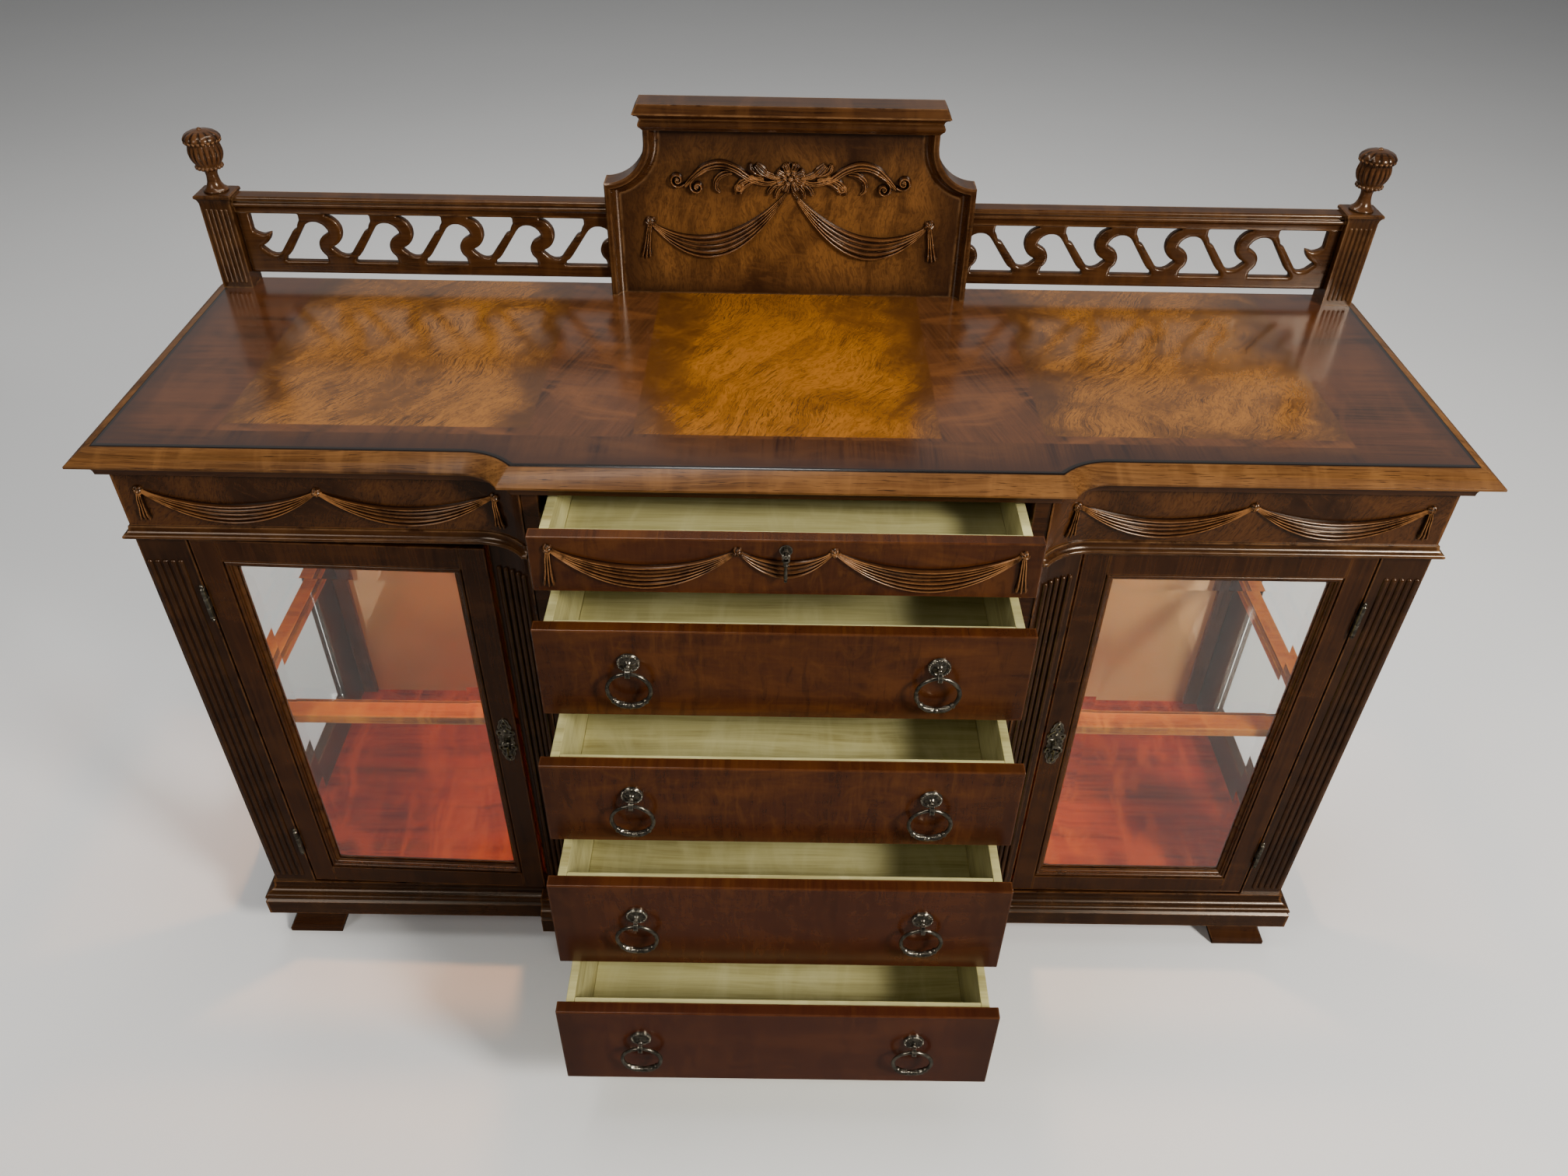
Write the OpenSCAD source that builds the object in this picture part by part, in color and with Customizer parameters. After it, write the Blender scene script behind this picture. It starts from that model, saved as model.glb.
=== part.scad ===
// Breakfront sideboard: two glazed end cabinets, five drawers between them and a pierced gallery.
// X runs along the front, Y from front to back and Z up. The origin is on the floor, in the middle
// of the space that the piece fills while its drawers stand part way out.

/* [Overall] */
// Length of the top, tip to tip
top_w = 1830; // [1750:1:1960]
// Depth of the top at the end cabinets
top_d = 530; // [500:1:600]
// How far the middle stands forward of the ends
break_out = 31; // [22:1:45]

/* [Top board] */
// Thickness of the top board
top_t = 41; // [34:1:48]
// How far the top stands out past the case
overhang = 33; // [24:1:42]
// Width of the sloping edge of the top
slope_w = 30; // [18:1:34]
// Drop of the sloping edge from the flat to its tip
slope_drop = 16; // [8:1:20]
// Height of the blunt nose at the tip
nose_h = 3; // [2:0.5:6]

/* [Case] */
// Half the width of the flat middle part of the case
centre_hw = 345; // [335:1:355]
// Radius of the hollow corner between the middle and the ends
cove_r = 90; // [70:1:110]
// Height of the frieze above the cabinets
frieze_h = 89; // [75:1:100]
// Distance of the frieze knobs from the ends of the case and from the top
knob_in = 30; // [24:1:36]
// Distance of the inner frieze knobs from the middle of the hollow corner
cove_knob = 29; // [24:1:36]
// Height of the waist moulding under the frieze
waist_h = 20; // [14:1:26]
// How far the waist moulding stands out
waist_out = 10.5; // [6:0.5:14]
// Height of the plinth moulding
plinth_h = 68; // [58:1:80]
// How far the plinth stands out
plinth_out = 21; // [14:1:28]
// Thickness of the case boards
board_t = 18; // [14:1:20]
// Thickness of the rails, friezes and frames on the outside
frame_t = 22; // [18:1:24]
// Thickness of the back board
back_t = 8; // [5:1:12]
// How far the case stops short of the back edge of the top
back_set = 6; // [0:1:12]
// Height of the feet
foot_h = 72; // [60:1:90]
// Width of a foot pad
foot_w = 93; // [80:1:110]

/* [Pilasters] */
// Width of the outer pilasters
outer_w = 68; // [62:1:76]
// Depth of the outer pilasters
outer_d = 26; // [24:1:28]
// Width of the hollow inner pilasters and their stile
inner_w = 60; // [56:1:66]
// Number of reeds on a pilaster
reed_n = 5; // [3:1:5]
// Radius of a reed
reed_r = 4.4; // [3:0.1:4.8]
// Distance between reeds
reed_gap = 10.6; // [10:0.1:11]
// Plain length above the reeds
reed_top = 37; // [20:1:60]
// Plain length below the reeds
reed_foot = 14; // [8:1:40]

/* [Drawers] */
// Width of the stiles beside the drawers
face_stile = 22; // [14:1:30]
// Gap at each end of a drawer front
end_gap = 3; // [2:0.5:5]
// Thickness of a drawer front
front_t = 18; // [14:1:20]
// Height of the top drawer front
top_front_h = 85; // [78:1:95]
// Height of the second and third drawer fronts
mid_h = 148; // [135:1:152]
// Height of the fourth and fifth drawer fronts
low_h = 178; // [160:1:182]
// Thickness of the rails between drawers
rail_t = 25; // [20:1:28]
// Gap round each drawer front
reveal = 2; // [1:0.5:4]
// How far a drawer box stands in from each end of its front
box_in = 11; // [10:0.5:20]
// Length of a drawer box behind its front
box_l = 455; // [380:1:458]
// Thickness of the drawer box sides
side_t = 12; // [10:1:15]
// Thickness of the drawer bottoms
bottom_t = 6; // [4:1:9]
// How far the box sides stop below the top of the front
box_drop = 8; // [4:1:14]
// Distance of the outer knobs on the top drawer from the ends of its front
front_knob_in = 25; // [18:1:32]
// Distance of the inner knobs on the top drawer from its middle
front_knob_x = 60; // [50:1:80]
// How far the first drawer stands open
open_1 = 97; // [0:1:200]
// How far the second drawer stands open
open_2 = 139; // [0:1:240]
// How far the third drawer stands open
open_3 = 206; // [0:1:280]
// How far the fourth drawer stands open
open_4 = 262; // [0:1:320]
// How far the fifth drawer stands open
open_5 = 326; // [300:1:350]

/* [Doors and cabinets] */
// Gap between a door and the case
door_gap = 3; // [3:0.5:4]
// Width of the flat of the door stiles and rails
stile_w = 36; // [28:1:44]
// Width of the moulded bead inside the door frame
bead_w = 14; // [9:1:18]
// Thickness of the door glass
glass_t = 4; // [3:0.5:6]
// Width of the bevel round the door glass
glass_bevel = 18; // [8:1:24]
// How far the left door stands open, in degrees
left_ajar = 1.5; // [0:0.5:4]
// Height of the shelf top above the cabinet floor
shelf_z = 383; // [300:1:460]
// Thickness of the shelf frame
shelf_t = 16; // [12:1:20]
// Width of the front rail of the shelf frame
shelf_rail = 40; // [30:1:55]
// Width of the other rails of the shelf frame
shelf_side = 33; // [24:1:45]
// Width of the stiles of the side frames
side_stile = 58; // [46:1:80]
// Height of the rails of the side frames
side_rail = 62; // [46:1:80]
// Width of the uprights beside the mirrors
mirror_edge = 28; // [16:1:40]

/* [Door fittings] */
// Radius of the hinge barrels
barrel_r = 3.5; // [3:0.1:4.5]
// Radius of the hinge pins
pin_r = 1.5; // [1.2:0.1:2]
// Length of a hinge barrel without its tips
barrel_l = 50; // [40:1:60]
// Distance of the hinges from the ends of the door
hinge_in = 108; // [80:1:140]
// Length of the lock plates
plate_l = 92; // [80:1:110]
// Width of the lock plates
plate_w = 29; // [24:1:33]

/* [Drawer pulls] */
// Outer diameter of a ring pull
ring_d = 62; // [54:1:70]
// Thickness of a ring pull
ring_t = 5.2; // [4:0.1:6]
// Diameter of a pull's rosette
rosette_d = 30; // [26:1:36]
// Distance of the pulls from the middle of the front
pull_x = 199; // [150:1:240]
// Distance of the ring's pivot from the drawer front
pivot_out = 14; // [13:0.5:18]
// Length of the drop pulls
drop_l = 40; // [30:1:46]

/* [Gallery] */
// Width of the gallery posts
post_w = 46; // [40:1:52]
// Depth of the gallery posts
post_d = 40; // [36:1:46]
// Height of the gallery posts
post_h = 138; // [134:1:150]
// Height of the finials
finial_h = 93; // [84:1:104]
// Radius of the finials
finial_r = 27; // [22:0.5:29]
// Height of the gallery rail
grail_h = 25; // [20:1:28]
// Height of the top of the gallery rail above the top board
grail_z = 143; // [138:1:146]
// Depth of the gallery rail
grail_d = 26; // [22:1:30]
// Thickness of the pierced boards
fret_t = 12; // [9:1:15]
// Height of the pierced boards above the top board
fret_z = 21.5; // [12:0.5:26]
// Length of one scroll of the pierced boards
fret_pitch = 109; // [106:1:111]
// Half the width of the back splat
splat_hw = 277; // [262:1:290]
// Radius of the hollow shoulders of the back splat
shoulder_r = 62; // [50:1:70]
// Height of the shoulders of the back splat
shoulder_z = 177; // [160:1:185]
// Height of the back splat with its cornice
splat_h = 294; // [280:1:310]
// Height of the cornice
cornice_h = 38; // [30:1:44]
// Depth of the back splat
splat_d = 38; // [32:1:44]
// Width of the moulded edge of the back splat
splat_edge = 22; // [16:1:28]

/* [Hidden] */
$fn = 48;

// Colours of the woods, metal and glass
dark_wood = [0.24, 0.11, 0.06];
red_wood = [0.33, 0.15, 0.08];
gold_wood = [0.55, 0.32, 0.12];
pale_wood = [0.86, 0.82, 0.62];
metal = [0.28, 0.25, 0.20];
clear = [0.75, 0.82, 0.82, 0.35];

// Clearances
joint = 0.2;          // glue line between boards of one frame
slide_gap = 0.3;      // drawer box on its runner
pin_gap = 0.3;        // pin in its bore
pane_gap = 0.4;       // glass in its groove
mitre_lap = 0.05;     // overlap of the two lengths of a curved mitre

// Levels, measured up from the floor. The drawer fronts and their rails set the height of the top.
z_deck = foot_h + plinth_h;
z_5 = z_deck + reveal;
z_4 = z_5 + low_h + 2 * reveal + rail_t;
z_3 = z_4 + low_h + 2 * reveal + rail_t;
z_2 = z_3 + mid_h + 2 * reveal + rail_t;
z_1 = z_2 + mid_h + 2 * reveal + rail_t;
z_under = z_1 + top_front_h + reveal;
top_h = z_under + top_t;
z_frieze = z_under - frieze_h;
z_waist = z_frieze - waist_h;

// Plan of the case, measured from the back edge of the top
body_hw = top_w / 2 - overhang;
y_side = overhang - top_d;
y_mid = y_side - break_out;
cove_cx = centre_hw + sqrt(pow(cove_r, 2) - pow(cove_r - break_out, 2));
cove_cy = y_side - cove_r;
y_back = -back_set;
y_in = y_back - back_t;
wall_x = centre_hw - 2;
outer_x = body_hw - outer_w;
inner_x = wall_x + joint;
inner_end = centre_hw + inner_w;
side_x = body_hw - frame_t;

// Drawers from the top down, with the width of the bay between the stiles
opens = [open_1, open_2, open_3, open_4, open_5];
bay_hw = wall_x - face_stile;
front_w = 2 * (bay_hw - end_gap);
box_w = front_w - 2 * box_in;
front_z = [z_1, z_2, z_3, z_4, z_5];
front_h = [top_front_h, mid_h, mid_h, low_h, low_h];

// Pulls
eye_r = 6;
eye_l = 6;
ring_c = (ring_d - ring_t) / 2;
pull_drop = 8;
pull_up = 0.35;
pull_reach = pivot_out + eye_r;
// Middle of the filled space from front to back
y_shift = (open_5 - y_mid + pull_reach) / 2;

// Door, drawn for the right side
door_x0 = inner_end + door_gap;
door_x1 = outer_x - door_gap;
door_z0 = z_deck + door_gap;
door_z1 = z_waist - door_gap;
door_y = y_side;
hinge_x = outer_x + 0.5;
hinge_y = y_side - 5;
hinge_z = [door_z0 + hinge_in - barrel_l / 2, door_z1 - hinge_in - barrel_l / 2];
door_mid_z = (door_z0 + door_z1) / 2;

// Gallery
post_x = top_w / 2 - 26 - post_w;
fret_len = post_x - splat_hw;
fret_h = grail_z - grail_h - fret_z;

function arc_pts(cx, cy, r, a0, a1, n) =
    [for (i = [0:n]) [cx + r * cos(a0 + (a1 - a0) * i / n), cy + r * sin(a0 + (a1 - a0) * i / n)]];
function flip(pts) = [for (i = [len(pts) - 1:-1:0]) [-pts[i][0], pts[i][1]]];

module put() translate([0, y_shift, 0]) children();

module pair() {
    children();
    mirror([1, 0, 0]) children();
}

// A section drawn in Y and Z, run along X between two places
module run_x(x0, x1) translate([x0, 0, 0]) rotate([90, 0, 90]) linear_extrude(x1 - x0) children();

// A section drawn in X and Z, run along Y between two places
module run_y(y0, y1) translate([0, y1, 0]) rotate([90, 0, 0]) linear_extrude(y1 - y0) children();

module box(x0, x1, y0, y1, z0, z1) translate([x0, y0, z0]) cube([x1 - x0, y1 - y0, z1 - z0]);

// Plan of the case, grown by t on the front and the ends
module plan(t = 0, back = y_back) {
    difference() {
        union() {
            translate([-body_hw - t, y_side - t]) square([2 * (body_hw + t), back - y_side + t]);
            translate([-cove_cx, y_mid - t]) square([2 * cove_cx, break_out + 1]);
        }
        for (s = [-1, 1]) translate([s * cove_cx, cove_cy]) circle(r = cove_r - t, $fn = 96);
    }
}

// A solid whose edge follows the plan, with the edge profile given as [out, height] from top to bottom
module moulded_slab(edge, back) {
    top = edge[0][1];
    bottom = edge[len(edge) - 1][1];
    last = edge[len(edge) - 1];
    intersection() {
        union() {
            run_x(-top_w, top_w)
                polygon(concat([[back, top]], [for (p = edge) [y_side - p[0], p[1]]], [[back, bottom]]));
            difference() {
                run_x(-cove_cx, cove_cx)
                    polygon(concat([[back, top]], [for (p = edge) [y_mid - p[0], p[1]]], [[back, bottom]]));
                pair() translate([cove_cx, cove_cy, 0]) rotate_extrude($fn = 96)
                    polygon(concat([[0, top + 1], [cove_r - edge[0][0], top + 1]],
                        [for (p = edge) [cove_r - p[0], p[1]]],
                        [[cove_r - last[0], bottom - 1], [0, bottom - 1]]));
            }
        }
        run_y(-2 * top_d, back) polygon(concat([for (p = edge) [body_hw + p[0], p[1]]],
            flip([for (p = edge) [body_hw + p[0], p[1]]])));
    }
}

// Thin cuts on the mitres at the two front corners
module corner_mitres(z0, z1, reach = 60) {
    pair() translate([body_hw, y_side, z0]) rotate([0, 0, 45])
        translate([-joint / 2, -reach, 0]) cube([joint, 2 * reach, z1 - z0]);
}

// Four mitred bars round an upright opening; the section is [in from the opening's frame, Y]
module bar_frame(x0, x1, z0, z1, section, w) {
    g = joint / 2;
    xm = (x0 + x1) / 2;
    intersection() {
        run_x(x0, x1) polygon([for (p = section) [p[1], z0 + p[0]]]);
        run_y(-2 * top_d, top_d) polygon([[x0 + g, z0], [x1 - g, z0], [x1 - w - g, z0 + w], [x0 + w + g, z0 + w]]);
    }
    intersection() {
        run_x(x0, x1) polygon([for (p = section) [p[1], z1 - p[0]]]);
        run_y(-2 * top_d, top_d) polygon([[x0 + g, z1], [x1 - g, z1], [x1 - w - g, z1 - w], [x0 + w + g, z1 - w]]);
    }
    intersection() {
        translate([0, 0, z0]) linear_extrude(z1 - z0) polygon([for (p = section) [x0 + p[0], p[1]]]);
        run_y(-2 * top_d, top_d) polygon([[x0, z0 + g], [x0, z1 - g], [x0 + w, z1 - w - g], [x0 + w, z0 + w + g]]);
    }
    intersection() {
        translate([0, 0, z0]) linear_extrude(z1 - z0) polygon([for (p = section) [x1 - p[0], p[1]]]);
        run_y(-2 * top_d, top_d) polygon([[x1, z0 + g], [x1, z1 - g], [x1 - w, z1 - w - g], [x1 - w, z0 + w + g]]);
    }
}

// A round reed with domed ends
module reed(x, y, z0, z1, r = reed_r) {
    translate([x, y, z0]) cylinder(r = r, h = z1 - z0, $fn = 24);
    translate([x, y, z1]) sphere(r = r, $fn = 24);
    translate([x, y, z0]) sphere(r = r, $fn = 24);
}

// How far the hollow corner's face stands in front of the end's flat face at x
function hollow_y(x) = x < cove_cx ? sqrt(pow(cove_r, 2) - pow(cove_cx - x, 2)) - cove_r - 0.05 : 0;

// A solid between two edge lines of [x, z] points, its front carved into n folds.
// Its back is flat, or follows the hollow corner.
module folds(upper, lower, deep, n, hollow = false) {
    last = len(upper) - 1;
    m = 3 * n;
    c = m + 3;
    function at(p, d) = [p[0], (hollow ? hollow_y(p[0]) : 0) - d, p[1]];
    pts = [for (i = [0:last]) each concat(
        [for (k = [0:m]) at(upper[i] + (lower[i] - upper[i]) * k / m,
            deep[i] * (0.35 + 0.65 * abs(sin(180 * n * k / m))))],
        [at(lower[i], 0), at(upper[i], 0)])];
    sides = [for (i = [0:last - 1]) for (k = [0:c - 1]) let (j = (k + 1) % c)
        [i * c + k, (i + 1) * c + k, (i + 1) * c + j, i * c + j]];
    polyhedron(pts, concat(sides, [[for (k = [0:c - 1]) k]], [[for (k = [c - 1:-1:0]) last * c + k]]));
}

// A line that hangs from a to b, with its ends moved by off
function hanging(a, b, sag, off, n) =
    [for (i = [0:n]) a + (b - a) * i / n + [0, off - 4 * sag * (i / n) * (1 - i / n)]];

// A carved swag of four folds from a to b
module drape(a, b, top_sag, low_sag, hollow = false) {
    n = 11;
    folds(hanging(a, b, top_sag, 2.5, n), hanging(a, b, low_sag, -2.5, n),
        [for (i = [0:n]) 3.5 + 3.5 * sin(180 * i / n)], 4, hollow);
}

// A carved tassel of three folds, its top at the given place
module tassel(x, z, length, lean = 0, hollow = false) {
    wide = [3, 4.5, 4, 6, 9];
    folds([for (i = [0:4]) [x + lean * i / 4 + wide[i], z - length * i / 4]],
        [for (i = [0:4]) [x + lean * i / 4 - wide[i], z - length * i / 4]], [4, 6, 5, 5.5, 4], 3, hollow);
}

// A carved knob with a flat back, domed towards the front
module knob(x, z, r = 7) translate([x, 0, z]) rotate([90, 0, 0]) rotate_extrude($fn = 20)
    polygon(concat([[0, 0]], arc_pts(0, 0, r, 0, 90, 4)));

// A carved leaf that curls along an arc and thins to its ends
module leaf(x, z, r, a0, a1, wide) {
    n = 8;
    s = a1 < a0 ? 1 : -1;
    w = [for (i = [0:n]) wide * (0.3 + 0.7 * sin(15 + 150 * i / n))];
    function edge_line(t) = [for (i = [0:n]) let (a = a0 + (a1 - a0) * i / n)
        [x + (r + t * w[i]) * cos(a), z + (r + t * w[i]) * sin(a)]];
    folds(edge_line(s), edge_line(-s), [for (v = w) 2 + v * 0.7], 1);
}

// Edge of the top: a shallow sloping curve, a blunt nose and a hollow under it
module top_board() {
    in = overhang - slope_w;
    under = top_t - slope_drop - nose_h;
    rise = 2;
    slope = [for (i = [0:6]) [in + slope_w * i / 6, top_h - slope_drop * i / 6 + rise * sin(180 * i / 6)]];
    hollow = arc_pts(overhang, z_under, under, 90, 180, 6);
    color(red_wood) put() moulded_slab(concat([[in - 1, top_h]], slope, hollow), 0);
}

module side_friezes() {
    color(dark_wood) put() difference() {
        translate([0, 0, z_frieze]) linear_extrude(frieze_h) difference() {
            plan(0);
            plan(-frame_t, 0);
            translate([-inner_x, -2 * top_d]) square([2 * inner_x, 2 * top_d]);
        }
        corner_mitres(z_frieze - 1, z_under + 1);
    }
}

// Waist moulding: a small step, a hollow and a half round, over the pilasters and the door
module waist_mouldings() {
    low = z_waist;
    edge = concat([[0, z_frieze], [2, z_frieze], [2.5, z_frieze - 3]],
        arc_pts(waist_out, z_frieze - 3, waist_out - 2.5, 180, 250, 4),
        arc_pts(waist_out - 3.5, low + 6.5, 3.5, 75, -75, 6),
        [[waist_out - 4, low + 2], [2, low]]);
    color(dark_wood) put() difference() {
        moulded_slab(edge, y_back);
        translate([0, 0, low - 1]) linear_extrude(waist_h + 2) plan(-frame_t, 0);
        box(-inner_x, inner_x, -2 * top_d, 0, low - 1, z_frieze + 1);
        corner_mitres(low - 1, z_frieze + 1);
    }
}

module outer_pilasters() {
    first = body_hw - 7 - (reed_n - 1) * reed_gap;
    color(dark_wood) put() pair() {
        box(outer_x, body_hw, y_side, y_side + outer_d, z_deck, z_waist);
        for (i = [0:reed_n - 1])
            reed(first + i * reed_gap, y_side + 1.2, z_deck + reed_foot + reed_r, z_waist - reed_top - reed_r);
    }
}

// Hollow pilasters whose reeds follow the cove
module inner_pilasters() {
    step = reed_gap / cove_r * 180 / PI;
    color(dark_wood) put() pair() {
        translate([0, 0, z_deck]) linear_extrude(z_waist - z_deck) intersection() {
            plan(0);
            translate([inner_x, y_mid]) square([inner_end - inner_x, break_out + frame_t + 5]);
        }
        for (i = [0:reed_n - 1]) {
            a = 12.5 + i * step;
            reed(cove_cx - (cove_r - 0.5) * sin(a), cove_cy + (cove_r - 0.5) * cos(a),
                z_deck + reed_foot + reed_r, z_waist - reed_top - reed_r, reed_r - 0.4);
        }
    }
}

// Stiles beside the drawers and the rails between them
module face_frame() {
    color(red_wood) put() {
        pair() box(bay_hw, wall_x, y_mid + 3, y_side + 3, z_deck, z_under);
        for (z = [z_1, z_2, z_3, z_4])
            box(-bay_hw + joint, bay_hw - joint, y_mid + 3, y_side + 3, z - reveal - rail_t, z - reveal);
    }
}

// Framed ends of the cabinets
module side_frames() {
    y0 = y_side + outer_d;
    y1 = y_back;
    color(dark_wood) put() pair() {
        box(side_x, body_hw, y0, y0 + side_stile, z_deck, z_waist);
        box(side_x, body_hw, y1 - side_stile - 34, y1, z_deck, z_waist);
        box(side_x, body_hw, y0 + side_stile + joint, y1 - side_stile - 34 - joint, z_deck, z_deck + side_rail);
        box(side_x, body_hw, y0 + side_stile + joint, y1 - side_stile - 34 - joint, z_waist - side_rail + 12, z_waist);
    }
}

// Glass of the cabinet ends and of the shelves
module cabinet_panes() {
    y0 = y_side + outer_d + side_stile + joint;
    y1 = y_back - side_stile - 34 - joint;
    x = (side_x + body_hw) / 2;
    ledge = 8;
    color(clear) put() pair() {
        box(x - glass_t / 2, x + glass_t / 2, y0, y1, z_deck + side_rail, z_waist - side_rail + 12);
        box(shelf_x0() + shelf_side - ledge + pane_gap, shelf_x1() - shelf_side + ledge - pane_gap,
            shelf_y0() + shelf_rail - ledge + pane_gap, shelf_y1() - shelf_side + ledge - pane_gap,
            z_shelf() - glass_t, z_shelf());
    }
}

// Back board and the uprights that hold the mirrors
module back_panel() {
    color(red_wood) put() {
        box(-side_x + joint, side_x - joint, y_in, y_back, z_deck - board_t, z_under);
        pair() {
            box(wall_x + joint, wall_x + mirror_edge, y_in - 12, y_in - joint, z_deck, z_waist);
            box(side_x - mirror_edge, side_x - joint, y_in - 12, y_in - joint, z_deck, z_waist);
        }
    }
}

module mirrors() {
    color([0.8, 0.85, 0.88]) put() pair()
        box(wall_x + mirror_edge + joint, side_x - mirror_edge - joint, y_in - 4, y_in, z_deck, z_waist);
}

// Partitions beside the drawers and the ceilings of the cabinets
module cabinet_walls() {
    color(red_wood) put() pair() {
        box(wall_x - board_t, wall_x, y_side + 3, y_in, z_deck, z_under);
        box(wall_x + joint, side_x - joint, y_side + frame_t + joint, y_in, z_waist, z_waist + board_t);
    }
}

module bottom_board() {
    color([0.62, 0.16, 0.05]) put() translate([0, 0, z_deck - board_t]) linear_extrude(board_t) plan(-frame_t - joint, y_in);
}

// Plinth: a step, a hollow, a half round and a plain band, in mitred lengths, with a rail behind
module plinth() {
    top = z_deck;
    low = foot_h;
    edge = concat([[0, top], [4, top], [4, top - 8]],
        arc_pts(16, top - 8, 12, 180, 265, 6),
        arc_pts(plinth_out - 6, top - 27, 5, 70, -90, 6),
        [[plinth_out - 3, top - 34], [plinth_out, top - 36], [plinth_out, low]]);
    color(dark_wood) put() {
        difference() {
            moulded_slab(edge, y_back);
            translate([0, 0, low - 1]) linear_extrude(plinth_h + 2) plan(-frame_t, 0);
            corner_mitres(low - 1, top + 1);
        }
        box(-side_x + joint, side_x - joint, y_back - frame_t, y_back, low, top - board_t);
    }
}

// Feet whose sides sweep outwards to a flat pad
module foot() {
    pad = 8;
    sweep = 24;
    top_in = 20;
    tall = foot_h - pad;
    inner = [for (i = [0:8]) [foot_w + top_in * sin(90 * i / 8), pad + tall * i / 8]];
    outer = [for (i = [8:-1:0]) [sweep * sin(90 * i / 8), pad + tall * i / 8]];
    face = concat([[0, 0], [foot_w, 0]], inner, outer);
    intersection() {
        run_y(-foot_w - top_in, 0) scale([-1, 1]) polygon(face);
        translate([-foot_w - top_in, 0, 0]) run_x(0, foot_w + top_in)
            polygon([for (p = face) [-foot_w - top_in + p[0], p[1]]]);
    }
}

module feet() {
    out = 4.5;
    color(dark_wood) put() pair() {
        translate([body_hw + out, y_side - out - 4 + foot_w + 20, 0]) foot();
        translate([body_hw + out, y_back, 0]) mirror([0, 1, 0]) translate([0, foot_w + 20, 0]) foot();
    }
}

// Strips that carry the drawers, and upright strips that guide them; the lowest drawer rides on the floor
module drawer_runners() {
    guide_x = box_w / 2 + 1.5;
    ledge_x = box_w / 2 - 16;
    end_x = wall_x - board_t;
    y0 = y_side + 3 + joint;
    y1 = y_in - joint;
    color(pale_wood) put() pair() for (i = [0:4]) {
        shelf = front_z[i] - reveal;
        if (i < 4) box(ledge_x, end_x, y0, y1, shelf - rail_t + 5, shelf);
        box(guide_x, end_x, y0, y1, shelf + joint, shelf + 30);
    }
}

function z_shelf() = z_deck + shelf_z;
function shelf_x0() = wall_x + 1;
function shelf_x1() = side_x - 1;
function shelf_y0() = y_side + frame_t + 6;
function shelf_y1() = y_in - 14;

// Wooden shelf frames with a ledge for the glass
module shelf_frames() {
    x0 = shelf_x0();
    x1 = shelf_x1();
    y0 = shelf_y0();
    y1 = shelf_y1();
    z0 = z_shelf() - shelf_t;
    z1 = z_shelf();
    ledge = 8;
    color(red_wood) put() pair() difference() {
        union() {
            box(x0, x1, y0, y0 + shelf_rail, z0, z1);
            box(x0, x1, y1 - shelf_side, y1, z0, z1);
            box(x0, x0 + shelf_side, y0 + shelf_rail + joint, y1 - shelf_side - joint, z0, z1);
            box(x1 - shelf_side, x1, y0 + shelf_rail + joint, y1 - shelf_side - joint, z0, z1);
        }
        box(x0 + shelf_side - ledge, x1 - shelf_side + ledge, y0 + shelf_rail - ledge, y1 - shelf_side + ledge,
            z1 - glass_t, z1 + 1);
    }
}

module shelf_pins() {
    r = 2.5;
    length = 12;
    z = z_shelf() - shelf_t - r;
    color(metal) put() pair() for (y = [y_side + outer_d + 30, y_in - 50]) {
        translate([wall_x, y, z]) rotate([0, 90, 0]) cylinder(r = r, h = length);
        translate([side_x, y, z]) rotate([0, -90, 0]) cylinder(r = r, h = length);
    }
}

// Small round lights under the cabinet ceilings
module cabinet_lights() {
    r = 32;
    h = 13;
    color(pale_wood) put() pair() translate([wall_x + 120, (y_side + y_in) / 2, z_waist - h])
        rotate_extrude($fn = 64) polygon([[0, 2], [r - 6, 2], [r - 5, 0], [r - 1.5, 0], [r, 2], [r, h], [0, h]]);
}

// Square posts with reeds on the front and a moulded cap
module gallery_posts() {
    n = 5;
    r = 2.9;
    pitch = 7.4;
    z0 = top_h + post_h - 4;
    color(dark_wood) put() pair() {
        box(post_x, post_x + post_w, -post_d, 0, top_h, z0);
        for (i = [0:n - 1]) reed(post_x + post_w / 2 + (i - (n - 1) / 2) * pitch, -post_d + 0.8,
            top_h + 8 + r, z0 - 7 - r, r);
        post_cap();
    }
}

// Cap that spreads in a hollow to a thin square top
module post_cap() {
    cap = 4.5;
    z0 = top_h + post_h - 4;
    intersection() {
        run_y(-post_d - cap, 0) polygon(cap_face(post_x, post_x + post_w, cap, z0));
        run_x(post_x - cap, post_x + post_w + cap) polygon(cap_side(-post_d, 0, cap, z0));
    }
}
function cap_steps(cap) = [[0, 0], [0.6, 3], [1.6, 6], [cap - 1, 8.5], [cap, 9], [cap, 12.5], [cap - 2, 14]];
function cap_face(x0, x1, cap, z) =
    concat([for (p = cap_steps(cap)) [x1 + p[0], z + p[1]]],
        [for (i = [6:-1:0]) [x0 - cap_steps(cap)[i][0], z + cap_steps(cap)[i][1]]]);
function cap_side(y0, y1, cap, z) =
    concat([for (p = cap_steps(cap)) [y0 - p[0], z + p[1]]], [[y1, z + 14], [y1, z]]);

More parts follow.
